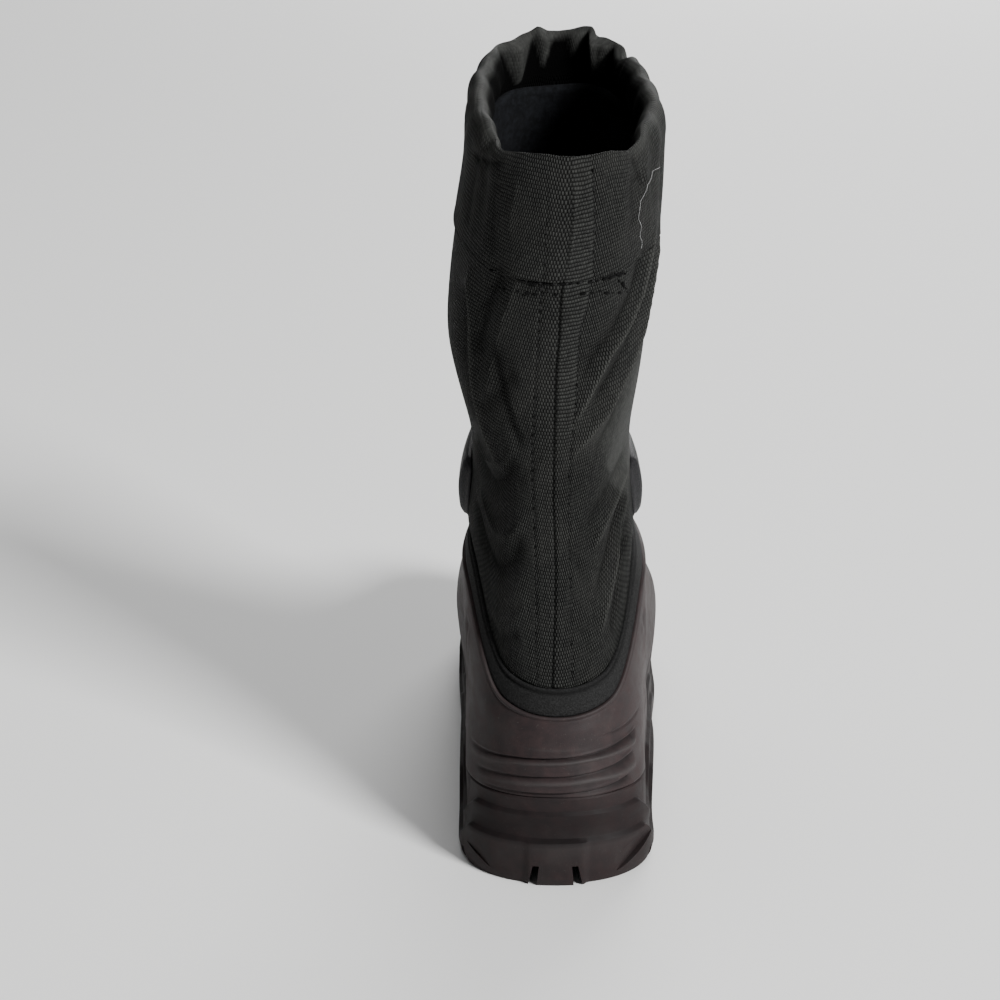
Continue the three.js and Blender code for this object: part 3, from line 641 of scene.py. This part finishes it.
# The outside of the nylon at a place, with its folds and gathers
def shaftSurface(degrees, place, extra):
    degrees, place = np.broadcast_arrays(np.asarray(degrees, float), np.asarray(place, float))
    relief, _, _ = shaftRelief(degrees, place)
    onCuff = place > placeOf["seam"]
    base = np.where(onCuff, walls["cuffStep"], -2 * (1 - ease((place - shaftStart) / walls["bindingHeight"])))
    gathered = np.where(onCuff, cuffGather(place), 0)
    depth, lift = rimShape(degrees)
    relief *= np.where(onCuff, 0.7, 1.0)
    points = wall(place, np.radians(degrees), base + relief - depth * gathered + extra)
    points[..., 2] += lift * gathered * cuffLift(place)
    return points


def shaftPiece():
    angles = columnAngles(shaft["columns"], shaft["gather"])
    degrees = signedDegrees(angles)
    rollStart = placeOf["rim"] - walls["rollRise"]
    # place, outward, share of the folds, share of the gathers, share of the roll's thickness
    seam, step, inside = placeOf["seam"], walls["cuffStep"], -walls["cuff"] - shaft["slack"]
    profile = []
    for place in np.arange(shaftStart, seam - 0.5, shaft["rowStep"]):
        stand = 2 * (1 - float(ease((place - shaftStart) / walls["bindingHeight"])))
        profile.append((place, -stand, 1.0, 0.0, 0.0))
    profile += [(seam - 0.6, -0.1, 0.8, 0.0, 0.0), (seam - 0.3, 0.5, 0.6, 0.0, 0.0),
                (seam + 0.2, step + 0.25, 0.6, 0.0, 0.0)]
    for place in np.arange(seam + 1, rollStart, shaft["rowStep"]):
        profile.append((place, step, 0.7, float(cuffGather(place)), 0.0))
    for turn in np.linspace(0, 2, 21) * math.pi / 2:
        height = rollStart + walls["rollRise"] * math.sin(turn)
        profile.append((height, step, 0.35, 1.0, (1 - math.cos(turn)) / 2))
    innerStart = len(profile) - 10
    for place in np.arange(rollStart - 1, rollStart - 24, -1.5):
        share, gathered = float(ease((rollStart - place) / 9)), max(0.0, 1 - (rollStart - place) / 20)
        profile.append((place, mix(step, inside, share), 0.0, gathered, 1 - share))
    profile += [(place, inside, 0.0, 0.0, 0.0) for place in np.arange(rollStart - 28, shaftStart, -5.0)]
    profile.append((shaftStart, shaft["hem"], 0.0, 0.0, 0.0))
    place, out, strength, gathered, rolled = spread(profile, angles)
    turned = degrees + 0 * place
    relief, dark, pale = shaftRelief(turned, place)
    depth, lift = rimShape(turned)
    inner = np.arange(len(profile))[:, None] >= innerStart
    drop = np.where(inner, np.maximum(placeOf["rim"] - place, 0), 0)
    hanging = flapDepth(turned, drop)
    out = out + relief * strength - depth * gathered - rolled * rollThickness(turned) - hanging
    grid = wall(place, angles, out)
    grid[..., 2] += lift * gathered * cuffLift(place)
    _, _, sideSeam = fromPath(turned, place, shaft["seamPath"])
    _, _, sideRow = fromPath(turned, place, shaft["rightRow"])
    strip = np.where((sideSeam < 0) & (sideRow > 0), ease((place - shaft["stripEnd"]) / 30), 0.0)
    # Painted shade inside the collar, in the hollows between the hanging flaps
    shaded = ease((drop - 1.0) / 4) * (1 - np.clip(hanging / 1.2, 0, 1)) * 1.1
    _, share, side = fromPath(turned, place, shaft["smoothSide"])
    smooth = 0.7 * ease(-side / 5) * ease((1 - share) / 0.2) * (1 - ease((place - 240) / 30))
    smooth *= ease((place - 140) / 30) * (1 - ease((turned - 80) / 30))
    frontRoll = ease((np.abs(turned) - 24) / 30)
    values = {"strip": strip, "crestHighlight": pale * ~inner,
              "paintedShade": np.clip(np.where(inner, shaded, dark), 0, 1.1),
              "faded": 0.75 * ease(rolled * 3) * frontRoll + 0.2 * inner + smooth}
    return ringWall("nylonShaft", grid, degrees * shaft["perDegree"], walkedLength(grid[:, 0]), values,
                    materials["nylon"])


def finishPiece(piece, node=None):
    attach(piece, "root")
    if node:
        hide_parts(node)
    print(piece.name, len(piece.data.polygons))


finishPiece(shaftPiece(), "shaft")

# Fleece lining: from below the unlined cuff down into the boot

lining = {"columns": 200, "topBack": 296.0, "topFront": 306.0, "thickness": 2.6, "fuzz": 0.5}


def liningPiece():
    angles = columnAngles(lining["columns"], 0.0)
    degrees = signedDegrees(angles)
    top = mix(lining["topBack"], lining["topFront"], (1 - np.cos(angles)) / 2) + 1.2 * np.sin(angles * 5 + 1)
    start = shaftStart + 1
    inner, outer = -walls["cuff"] - 0.5 - lining["thickness"], -walls["cuff"] - 0.5
    profile = [(share, outer) for share in np.linspace(0, 1, 30)] + [(1.006, mix(outer, inner, 0.5))]
    profile += [(share, inner) for share in np.linspace(1.0, 0.0, 90)]
    share, out = spread(profile, angles)
    place = start + (top - start) * share
    pile = lumps(degrees, place, 1.6, 5) + lumps(degrees, place, 4.5, 6)
    grid = wall(place, angles, out + (out == inner) * lining["fuzz"] * pile)
    along = np.cumsum(np.concatenate([[0], np.abs(np.diff(place[:, 0]))]))
    return ringWall("fleeceLining", grid, degrees * shaft["perDegree"], along, None, materials["fleece"])


finishPiece(liningPiece())

# Binding tape between the rubber and the nylon

binding = {"columns": 256, "seat": 0.03, "stand": -1.0, "bulge": 0.35}


def bindingPiece():
    angles = columnAngles(binding["columns"], 0.3)
    degrees = signedDegrees(angles)
    low, high = placeOf["topline"] + binding["seat"], placeOf["topline"] + walls["bindingHeight"]
    profile = []
    for share in np.linspace(0, 1, 15):
        edge = -0.45 * (abs(share - 0.5) * 2) ** 6
        groove = -0.9 * hill(share - 0.86, 0.05)
        profile.append((share, binding["stand"] + binding["bulge"] + edge + groove))
    profile += [(share, binding["stand"] - walls["binding"]) for share in (1.0, 0.5, 0.0)]
    share, out = spread(profile, angles)
    place = mix(low, high, share)
    out = out + 0.18 * lumps(degrees, place, 5, 12) * (out > -2)
    # Painted shade in the groove near the top of the tape and along its lower edge
    dark = 0.9 * hill(share - 0.88, 0.06) + 0.25 * hill(share, 0.05)
    return ringWall("bindingTape", wall(place, angles, out), degrees * 1.3, place[:, 0], {"paintedShade": dark},
                    materials["binding"])


finishPiece(bindingPiece(), "topline_binding")

# Rubber shell: lapped ribs round the heel, a groove down each side and a rolled top edge

shell = {"columns": 320, "rowStep": 0.9, "perDegree": 1.35, "scuff": (0.0, 57.0)}
# Sizes across a rib's lap and across a side groove
rib = {"depth": 1.8, "above": 0.8, "below": 1.7, "widens": 3.4, "swell": 0.8, "shoulder": 0.35}
groove = {"depth": 1.3, "width": 1.3, "bank": 0.5, "bankAt": 3.4}
ribPaths = [
    [(-42, 33), (-34, 35.5), (-24, 39.5), (-15, 43.5), (-5.5, 46), (2.5, 47), (10, 48), (18, 48.5),
     (27, 48.5), (37.5, 46)],
    [(-33, 24), (-24, 26), (-15.5, 28), (-5, 29.5), (2.5, 30), (11, 31), (19, 32), (32.5, 33)],
    [(-27, 16.5), (-16, 16.5), (-9, 16.5), (-2, 16.5), (3.5, 17), (9.5, 17.5), (17, 19), (27, 21)],
]
faintRib = [(16, 68), (30, 62), (45.5, 52)]
sideGrooves = [[(60, 96), (62, 70), (65, 40), (64, 20)], [(-60, 92), (-59, 66), (-57, 40), (-56, 22)]]


def shellRelief(degrees, place):
    relief, dark, wearAndHighlight = np.zeros(place.shape), np.zeros(place.shape), np.zeros(place.shape)
    for path in ribPaths:
        gap, share, side = fromPath(degrees, place, path, shell["perDegree"])
        above = np.where(side < 0, gap, -gap)
        ends = mix(0.3, 1.0, ease(share / 0.55)) * ease(share / 0.1) * ease((1 - share) / 0.03) * (gap < 12)
        below = rib["below"] + rib["widens"] * ease((share - 0.62) / 0.3)
        lap = np.where(above > 0, hill(above, rib["above"]), hill(above, below))
        swell = rib["swell"] * hill(above + below + 2.8, 1.7) + rib["shoulder"] * hill(above - 2.0, 1.2)
        relief += ends * (swell - rib["depth"] * lap)
        # Painted shade in each rib's lap, deeper toward its ends on the outer side
        shade = np.where(above > 0, lap, hill(above, below * 0.8))
        dark += ends * mix(0.5, 1.3, ease((share - 0.6) / 0.3)) * shade
        # Painted highlight: a lighter line along the top edge of the rib below each lap
        wearAndHighlight += ends * 0.75 * hill(above + below + 2.6, 1.5)
    relief += fold(degrees, place, faintRib, 1.1, -0.5)
    for path in sideGrooves:
        gap, share, _ = fromPath(degrees, place, path, shell["perDegree"])
        ends = ease(share / 0.1) * ease((1 - share) / 0.06)
        bank = groove["bank"] * hill(gap - groove["bankAt"], 1.1)
        relief += ends * (bank - groove["depth"] * hill(gap, groove["width"]))
        # Painted shade in the side groove and a painted highlight along its bank
        dark += 0.8 * ends * hill(gap, 0.9)
        wearAndHighlight += 0.5 * ends * hill(gap - 2.8, 0.8)
    lip = placeOf["topline"] - place
    relief += (0.55 * hill(lip - 1.6, 1.3) - 0.25 * hill(lip - 4.2, 0.8)
               + 0.25 * lumps(degrees * 1.4, place, 11, 21))
    scuffed = hill(degrees - shell["scuff"][0], 11.0) * hill(place - shell["scuff"][1], 1.6)
    # Lighter along the rolled top edge, and a scuff across the back of the heel
    wearAndHighlight += 0.35 * hill(lip - 0.9, 0.6) + 0.3 * scuffed * (1 + lumps(degrees * 0.3, place, 1.1, 31))
    return relief, np.clip(dark, 0, 1), np.clip(wearAndHighlight, 0, 1)


def shellPiece():
    angles = columnAngles(shell["columns"], 0.45)
    degrees = signedDegrees(angles)
    tucked = -(walls["cup"] + walls["clearance"])
    start, end = placeOf["cupRim"] + walls["clearance"], placeOf["topline"] - 0.05
    place = np.append(np.arange(start, end, shell["rowStep"]), end)[:, None] + 0 * angles
    relief, dark, wearAndHighlight = shellRelief(degrees, place)
    skin = wall(place, angles, relief)
    skin[:, :, 2] += walls["clearance"] * (1 - ease((place - start) / 6))
    seatHeight = form(0, angles)[:, 2] + walls["clearance"]

    def footRing(outward):
        line = wall(0, angles, outward)
        line[:, 2] = seatHeight
        return line

    lead = [footRing(tucked), wall(placeOf["cupRim"], angles, tucked) + (0, 0, walls["clearance"])]
    inside = [wall(end, angles, -0.9), wall(end, angles, -walls["shell"] + 0.4)]
    for share in np.linspace(0.97, 0.04, 16):
        inward = mix(-walls["shell"], tucked - walls["shell"], ease(1 - 2 * share))
        inside.append(wall(mix(start, end, share), angles, inward))
    grid = np.concatenate([lead, skin, inside, [footRing(tucked - walls["shell"])]])
    values = {}
    for name, shown in (("paintedShade", dark), ("wearAndHighlight", wearAndHighlight)):
        values[name] = np.zeros(grid.shape[:2])
        values[name][len(lead):len(lead) + len(skin)] = shown
    along = np.arange(len(grid)) * shell["rowStep"]
    return ringWall("rubberShell", grid, degrees * shell["perDegree"], along, values, materials["shell"])


finishPiece(shellPiece(), "shell")

# Outsole: stepped side in waves, arch, toe spring, and lugs cut by grooves

sole = {"columns": 288, "heelFlare": 4.0, "toeFlare": 2.4, "stepFlare": 0.5, "bevel": 1.6,
        "bevelHeight": 5.0, "stepDrop": 1.4, "toeSpring": 12.0, "toeLiftStart": 0.74,
        "arch": (0.29, 0.48, 0.03), "archRecess": 4.0, "waves": 2.5, "waveMiddle": -0.545, "waveSlope": 0.69,
        "lowerStep": (0.21, 0.5), "upperStep": (0.46, 0.8), "proud": 1.6, "grooveWidth": 5.0,
        "grooveDepth": 6.0, "taper": 0.55, "notch": (11.0, 0.6, 10.0), "notchWidth": 4.8, "notchLean": 1.6,
        "heelGrooves": (0.085, 0.155, 0.225), "chevrons": (0.51, 0.58, 0.65, 0.72, 0.79, 0.86),
        "sweep": 0.08, "corner": (0.2, 0.6, 0.09), "cornerDepth": 4.0}
soleAngles = columnAngles(sole["columns"], 0.4)
rimRing, seatRing = form(placeOf["cupRim"], soleAngles), form(0, soleAngles)
rimOut = unit(formNormal(placeOf["cupRim"], soleAngles) * (1, 1, 0))
half = sole["columns"] // 2
walkedRim = walkedLength(rimRing[:half + 1])
reach = np.concatenate([walkedRim, walkedRim[1:half][::-1]])
period = walkedRim[-1] / sole["waves"]
waveHeight = ease(0.5 + (np.cos(2 * math.pi * reach / period) - sole["waveMiddle"]) / sole["waveSlope"])


def toeLift(y):
    start = sole["toeLiftStart"] * foot["length"]
    return sole["toeSpring"] * np.clip((y - start) / (foot["length"] - start), 0, 1) ** 1.8


def soleBottom(y):
    share = y / foot["length"]
    first, last, slope = sole["arch"]
    recess = ease((share - first) / slope) * (1 - ease((share - last + slope) / slope))
    return sole["archRecess"] * recess + toeLift(y)


def sideRing(height, flareShare):
    share = np.clip((height - seatRing[:, 2]) / (rimRing[:, 2] - seatRing[:, 2]), 0, 1)[:, None]
    line = mix(seatRing, rimRing, share)
    flare = mix(sole["heelFlare"], sole["toeFlare"], ease(line[:, 1] / foot["length"]))
    line = line + rimOut * (flareShare * flare)[:, None]
    line[:, 2] = height
    return line


def stepLine(shares):
    lift = toeLift(rimRing[:, 1])
    height = lift + (rimRing[:, 2] - lift) * mix(shares[0], shares[1], waveHeight)
    return np.maximum(height, lift + sole["bevelHeight"] + sole["stepDrop"])


def soleRings():
    proud = sole["proud"] / sole["heelFlare"] * ease((sole["notch"][0] + 1.5 - reach) / 3)
    under = sole["bevel"] / sole["heelFlare"]
    first = sideRing(np.zeros(sole["columns"]), 1 - under + proud)
    first[:, 2] = soleBottom(first[:, 1])
    rings = [first]
    lift = toeLift(first[:, 1])
    for share in (0.3, 1.0):
        height = mix(first[:, 2], lift + sole["bevelHeight"], share)
        rings.append(sideRing(height, 1 - under * (1 - share) ** 2 + proud))
    low, high, drop = stepLine(sole["lowerStep"]), stepLine(sole["upperStep"]), sole["stepDrop"]
    between, stepped = mix(low, high, 0.5), sole["stepFlare"]
    for height, flare in [(low - 2.5, 1.0), (low - 0.5, 0.99), (low, 0.93), (low + drop * 0.7, 0.56),
                          (low + drop, stepped), (between + drop * 0.5, stepped - 0.1), (high - 0.5, 0.49),
                          (high, 0.43), (high + drop * 0.7, 0.06), (high + drop, 0.0)]:
        height = np.maximum(height, rings[-1][:, 2] + 0.02)
        rings.append(sideRing(height, flare + proud * 0.6 * (flare > 0.9)))
    rings.append(form(placeOf["cupRim"] - 0.8, soleAngles))
    rings += [wall(placeOf["cupRim"], soleAngles, outward) for outward in (-0.5, -walls["cup"])]
    seat = wall(0, soleAngles, -walls["cup"])
    seat[:, 2] = seatRing[:, 2]
    return np.array(rings + [seat])


def closeHoles(piece, sides):
    work = bmesh.new()
    work.from_mesh(piece.data)
    bmesh.ops.holes_fill(work, edges=[edge for edge in work.edges if len(edge.link_faces) == 1], sides=sides)
    bmesh.ops.recalc_face_normals(work, faces=work.faces)
    work.to_mesh(piece.data)
    work.free()


# Faces across a closed ring, from one side of the boot to the other
def rungFaces(start, columns):
    i = np.arange(1, columns // 2 - 1)
    return np.stack([start + i, start + i + 1, start + columns - i - 1, start + columns - i], -1)


def stackPiece(name, rings, values, material):
    count, columns = rings.shape[:2]
    faces, _, _ = gridFaces(count, columns, False)
    bottom, top = rungFaces(0, columns), rungFaces((count - 1) * columns, columns)
    piece = meshObject(name, rings, np.concatenate([faces, bottom[:, ::-1], top]), None, values, material)
    closeHoles(piece, 4)
    return piece


# A bar with a narrower roof, let into the sole from below
def grooveBar(start, end, width, depth, rise=0.0, lean=0.0):
    lift = float(toeLift(np.array([start[1]]))[0])
    a, b = Vector((*start, lift)), Vector((*end, lift + rise))
    along = (b - a).normalized()
    across = Vector((0, 0, 1)).cross(along).normalized()
    up = along.cross(across)
    side, roof = width / 2, sole["taper"] * width / 2
    section = [(-side + lean, -depth), (side + lean, -depth), (roof - lean, depth), (-roof - lean, depth)]
    corners = [base + across * x + up * y for base in (a, b) for x, y in section]
    faces = [(3, 2, 1, 0), (4, 5, 6, 7), (0, 1, 5, 4), (1, 2, 6, 5), (2, 3, 7, 6), (3, 0, 4, 7)]
    return [tuple(c) for c in corners], faces


def soleCutters():
    beyond, behind, length = foot["ball"], -2 * sole["heelFlare"], foot["length"]
    width, depth = sole["grooveWidth"], sole["grooveDepth"]
    spot, turn, notchDepth = sole["notch"]
    inner, outer, forward = sole["corner"]
    notchEnd = sole["heelGrooves"][0] * length
    groups = [[grooveBar((-beyond, s * length), (beyond, s * length), width, depth)
               for s in sole["heelGrooves"]]]
    chevrons = [(s * length, (s - sole["sweep"]) * length) for s in sole["chevrons"]]
    for side in (-1, 1):
        groups.append([grooveBar((-side * width / 2, middle), (side * beyond, edge), width, depth)
                       for middle, edge in chevrons])
    groups.append([grooveBar((side * spot, behind), (side * turn * spot, notchEnd), sole["notchWidth"],
                             notchDepth, 0.0, -side * sole["notchLean"]) for side in (-1, 1)])
    groups.append([grooveBar((side * inner * foot["heel"], behind),
                             (side * outer * foot["heel"], forward * length), width, sole["cornerDepth"],
                             2 * notchDepth) for side in (-1, 1)])
    return groups


def solePiece():
    rings = soleRings()
    # Painted shade on the rows of both steps, whose faces would catch light, and on the panel between them,
    # partly the panel's own darker tone; the two rows just below the lower step are lighter
    shades = np.zeros((2, len(rings), 1))
    shades[0, 4:12, 0] = (0.5, 0.8, 0.8, 0.5, 0.5, 0.5, 0.7, 0.7)
    shades[1, 3:5] = 0.35
    paintedShade, wearAndHighlight = shades + 0 * soleAngles
    piece = stackPiece("lugSole", rings, {"paintedShade": paintedShade, "wearAndHighlight": wearAndHighlight}, materials["sole"])
    cutters = []
    for group in soleCutters():
        points, faces = [], []
        for corners, sides in group:
            faces += [tuple(i + len(points) for i in side) for side in sides]
            points += corners
        cutter = meshObject("grooveCutter", points, faces)
        modifier = piece.modifiers.new("cut", "BOOLEAN")
        modifier.solver = "MANIFOLD"
        modifier.operation = "DIFFERENCE"
        modifier.object = cutter
        cutters.append(cutter)
    cut = evaluatedMesh(piece)
    piece.modifiers.clear()
    piece.data = cut
    cut.name = "lugSole"
    cut.shade_smooth()
    cut.set_sharp_from_angle(angle=math.radians(38))
    for cutter in cutters:
        bpy.data.objects.remove(cutter)
    return piece


finishPiece(solePiece(), "outsole")

# Insole

insole = {"columns": 160, "thickness": 4.0, "edge": 1.2}


def insolePiece():
    angles = columnAngles(insole["columns"], 0.2)
    inset = -(walls["cup"] + walls["shell"] + 4 * walls["clearance"])
    seat = form(0, angles)[:, 2] + walls["clearance"]
    top, edge = insole["thickness"], insole["edge"]
    rings = []
    for lift, extra in [(0, 0.6), (0.6, 0), (top - edge, 0), (top - 0.4, 0.35), (top, edge),
                        (top - 0.1, 4.0)]:
        ring = wall(0, angles, inset - extra)
        ring[:, 2] = seat + lift
        rings.append(ring)
    return stackPiece("feltInsole", np.array(rings), None, materials["felt"])


finishPiece(insolePiece(), "insole")

# Strap over the front of the ankle, anchored at both sides

strap = {"width": 33.0, "gap": 9.0, "rise": 6.0, "from": 76.0, "columns": 150}


def strapPiece():
    turn = np.radians(np.linspace(strap["from"], 360 - strap["from"], strap["columns"]))
    share = np.linspace(0, 1, strap["columns"])
    full = ease(np.minimum(share, 1 - share) / 0.03)
    # share of the width, outward
    section = [(0.0, -0.9), (-0.012, 1.0), (0.0, 2.1), (0.04, 2.8)]
    section += [(s, 2.9 + 1.9 * math.sin(s * math.pi) ** 0.8) for s in np.linspace(0.1, 0.9, 13)]
    section += [(0.96, 2.8), (1.0, 2.1), (1.012, 1.0), (1.0, -0.9), (0.5, -0.9)]
    low = shaftStart + strap["gap"] + strap["rise"] * np.sin(share * math.pi)
    lines = []
    for across, out in section:
        place = low + strap["width"] * (0.5 + (across - 0.5) * mix(0.8, 1.0, full))
        lines.append(wall(place, turn, out * mix(0.15, 1.0, full)))
    grid = np.array(lines).transpose(1, 0, 2)
    faces, _, _ = gridFaces(*grid.shape[:2], False)
    piece = meshObject("ankleStrap", grid, faces, material=materials["strap"])
    closeHoles(piece, 0)
    return piece


finishPiece(strapPiece(), "instep_strap")

# Stitches, near-black beads of painted shade for needle holes and the cuff's edge, and lint, repeated along
# paths on the cloth


# Beads along a line, of thread or of near-black painted shade, each a little out of place and of its own size
def stitchGroup():
    tree = bpy.data.node_groups.new("stitchRow", "GeometryNodeTree")
    inputs = {"Geometry": "Geometry", "Spacing": "Float", "Length": "Float", "Radius": "Float",
              "Jitter": "Float", "Seed": "Int", "Material": "Material"}
    for name, kind in inputs.items():
        tree.interface.new_socket(name=name, in_out="INPUT", socket_type="NodeSocket" + kind)
    tree.interface.new_socket(name="Geometry", in_out="OUTPUT", socket_type="NodeSocketGeometry")
    w, given = Wiring(tree), tree.nodes.new("NodeGroupInput").outputs
    curve = w.node("GeometryNodeMeshToCurve", {"Mesh": given["Geometry"]})
    spaced = w.node("GeometryNodeResampleCurve", {"Curve": curve[0], "Length": given["Spacing"]},
                    mode="LENGTH")
    random = w.node("FunctionNodeRandomValue", {0: (-1, -1, -1), "Seed": given["Seed"]},
                    data_type="FLOAT_VECTOR")
    aside = w.node("ShaderNodeVectorMath", {0: random["Value"], "Scale": given["Jitter"]}, operation="SCALE")
    moved = w.node("GeometryNodeSetPosition", {"Geometry": spaced[0], "Offset": aside[0]})
    bead = w.node("GeometryNodeMeshUVSphere", {"Segments": 8, "Rings": 6, "Radius": 1.0})
    halfLength = w.math("MULTIPLY", given["Length"], 0.5)
    shape = w.node("ShaderNodeCombineXYZ", {0: halfLength, 1: given["Radius"], 2: given["Radius"]})
    stretched = w.node("GeometryNodeTransform", {"Geometry": bead["Mesh"], "Scale": shape[0]})
    tangent = w.node("GeometryNodeInputTangent", {})
    turned = w.node("FunctionNodeAlignRotationToVector", {"Vector": tangent[0]}, axis="X")
    uneven = w.node("FunctionNodeRandomValue", {2: 0.5, 3: 1.25, "Seed": given["Seed"]}, data_type="FLOAT")
    copies = w.node("GeometryNodeInstanceOnPoints", {"Points": moved[0], "Instance": stretched[0],
                                                     "Rotation": turned[0], "Scale": uneven[1]})
    realized = w.node("GeometryNodeRealizeInstances", {0: copies[0]})
    painted = w.node("GeometryNodeSetMaterial", {"Geometry": realized[0], "Material": given["Material"]})
    w.put(tree.nodes.new("NodeGroupOutput").inputs["Geometry"], painted[0])
    return tree


stitchTree = stitchGroup()


def densePath(path, step=1.0):
    points = np.array(path, float)
    length = walkedLength(points)
    at = np.linspace(0, length[-1], max(2, int(length[-1] / step)))
    return np.interp(at, length, points[:, 0]), np.interp(at, length, points[:, 1])


def shaftLine(path, extra, trim=0.0):
    points = shaftSurface(*densePath(path), extra)
    return points[walkedLength(points) >= trim]


def lineMesh(name, points):
    mesh = bpy.data.meshes.new(name)
    edges = [(i, i + 1) for i in range(len(points) - 1)]
    mesh.from_pydata([tuple(point) for point in (points + partShift) / 1000], edges, [])
    return mesh


# Sizes in millimetres
def stitchRow(name, lines, spacing, length, radius, jitter, seed, material):
    wanted = {"Spacing": spacing / 1000, "Length": length / 1000, "Radius": radius / 1000,
              "Jitter": jitter / 1000, "Seed": seed, "Material": material}
    vertices, faces = [], []
    for line in lines:
        carrier = addObject(name, lineMesh(name, line))
        modifier = carrier.modifiers.new("stitches", "NODES")
        modifier.node_group = stitchTree
        for item in stitchTree.interface.items_tree:
            if item.in_out == "INPUT" and item.name in wanted:
                modifier[item.identifier] = wanted[item.name]
        beads = evaluatedMesh(carrier)
        faces += [tuple(i + len(vertices) for i in polygon.vertices) for polygon in beads.polygons]
        vertices += [vertex.co[:] for vertex in beads.vertices]
        bpy.data.objects.remove(carrier)
    whole = bpy.data.meshes.new(name)
    whole.from_pydata(vertices, [], faces)
    whole.materials.append(material)
    whole.shade_smooth()
    finishPiece(addObject(name, whole))


collarSeam = {
    "upper": [(-36, 276.8), (-18, 277), (0, 277.2), (20, 277), (36, 276)],
    "lower": [(-36, 269.5), (-28, 271), (-18, 272.5), (1, 273), (20, 272), (34, 268.5)],
    "thick": [(-17, 277.4), (-9, 276.6), (-2, 277.2)], "dash": [(29, 276.5), (39, 275)],
    "tear": [(33, 273.5), (37, 270.5), (41, 266)], "knot": [(-7, 275.5), (-3.5, 274.5)],
    "knots": [(-34, 277.5), (36, 277.5)], "start": 273,
}
topRows = [shaft["leftRow"][1:], shaft["rightRow"]]
lowSeam = [point for point in shaft["seamPath"] if point[1] <= collarSeam["start"]]
# name, lines, spacing, length, radius, jitter, seed, material
stitching = [
    ("needleHoles", [shaftLine(path, -0.12) for path in topRows], 4.0, 1.5, 0.42, 0.12, 4, "holes"),
    ("topStitches", [shaftLine(path, -0.05, 2.0) for path in topRows], 4.0, 2.3, 0.3, 0.05, 5, "thread"),
    ("seamDots", [shaftLine(lowSeam, -0.05)], 2.4, 1.5, 0.36, 0.1, 6, "holes"),
    # Painted shadow under the cuff's upper edge
    ("collarGaps", [shaftLine(collarSeam["upper"], -0.1)], 3.3, 2.6, 0.62, 0.5, 7, "holes"),
    ("collarHoles", [shaftLine(collarSeam["lower"], -0.1)], 3.5, 2.1, 0.5, 0.4, 8, "holes"),
    # Near-black beads: painted shade along parts of the cuff's edge, and a dark line running down from it
    ("collarTear", [shaftLine(collarSeam[name], 0.0) for name in ("thick", "dash", "tear")],
     1.5, 2.3, 0.62, 0.35, 9, "holes"),
    ("collarKnots", [shaftLine(collarSeam["knot"], 0.35), shaftLine(collarSeam["knots"], 0.3)],
     5.2, 1.6, 0.45, 0.4, 10, "thread"),
]
for name, lines, *sizes, material in stitching:
    stitchRow(name, lines, *sizes, materials[material])

lint = {"path": [(63, 309), (55, 310), (48, 309), (44.5, 305), (42.5, 300), (43.5, 296), (45, 292),
                 (45.5, 288), (48, 282)], "radius": 0.09, "wave": 0.35}


def lintPiece():
    curve = bpy.data.curves.new("lintHair", "CURVE")
    curve.dimensions = "3D"
    curve.bevel_depth = lint["radius"] / 1000
    curve.bevel_resolution = 1
    points = shaftSurface(*densePath(lint["path"], 2.0), 0.6)
    points[:, 0] += lint["wave"] * np.sin(np.arange(len(points)) * 1.7)
    spline = curve.splines.new("POLY")
    spline.points.add(len(points) - 1)
    for point, place in zip(spline.points, (points + partShift) / 1000):
        point.co = (*place, 1)
    carrier = addObject("lintHair", curve)
    mesh = evaluatedMesh(carrier)
    bpy.data.objects.remove(carrier)
    mesh.materials.clear()
    mesh.materials.append(materials["lint"])
    return addObject("lintHair", mesh)


finishPiece(lintPiece())

# Camera, light and floor

view = {"lens": 72.0, "sensor": 36.0, "pitch": 68.0, "place": (-23.24, -719.8, 466.5)}
camera = addObject("camera", bpy.data.cameras.new("camera"))
camera.data.lens = view["lens"]
camera.data.sensor_width = view["sensor"]
camera.rotation_euler = (math.radians(view["pitch"]), 0, 0)
camera.location = (np.array(view["place"]) + partShift) / 1000
bpy.context.scene.camera = camera

# name, place in metres, size in metres, power; all face the middle of the boot
lights = [
    ("keyLight", (3.1, -3.0, 2.8), 1.3, 470),
    ("topLight", (-0.4, 0.2, 4.0), 2.4, 44),
    ("frontLight", (1.2, 4.6, 2.2), 3.0, 230),
]
for name, place, size, power in lights:
    light = addObject(name, bpy.data.lights.new(name, "AREA"))
    light.data.size = size
    light.data.energy = power
    light.location = place
    light.rotation_euler = (Vector((0, 0, 0.16)) - Vector(place)).to_track_quat("-Z", "Y").to_euler()

studio = {"floor": 9000, "floorColor": (0.86, 0.86, 0.85, 1), "skyColor": (0.93, 0.95, 1.0, 1), "sky": 0.07}
corners = np.array([(-1, -1, 0), (1, -1, 0), (1, 1, 0), (-1, 1, 0)]) * studio["floor"] - partShift
floorMaterial, _, floorShader, _ = surface("paleFloor", 0.7)
floorShader.inputs["Base Color"].default_value = studio["floorColor"]
floor = meshObject("floor", corners, [(0, 1, 2, 3)], material=floorMaterial)

world = bpy.data.worlds.new("studio")
bpy.context.scene.world = world
world.use_nodes = True
background = world.node_tree.nodes["Background"]
background.inputs[0].default_value = studio["skyColor"]
background.inputs[1].default_value = studio["sky"]
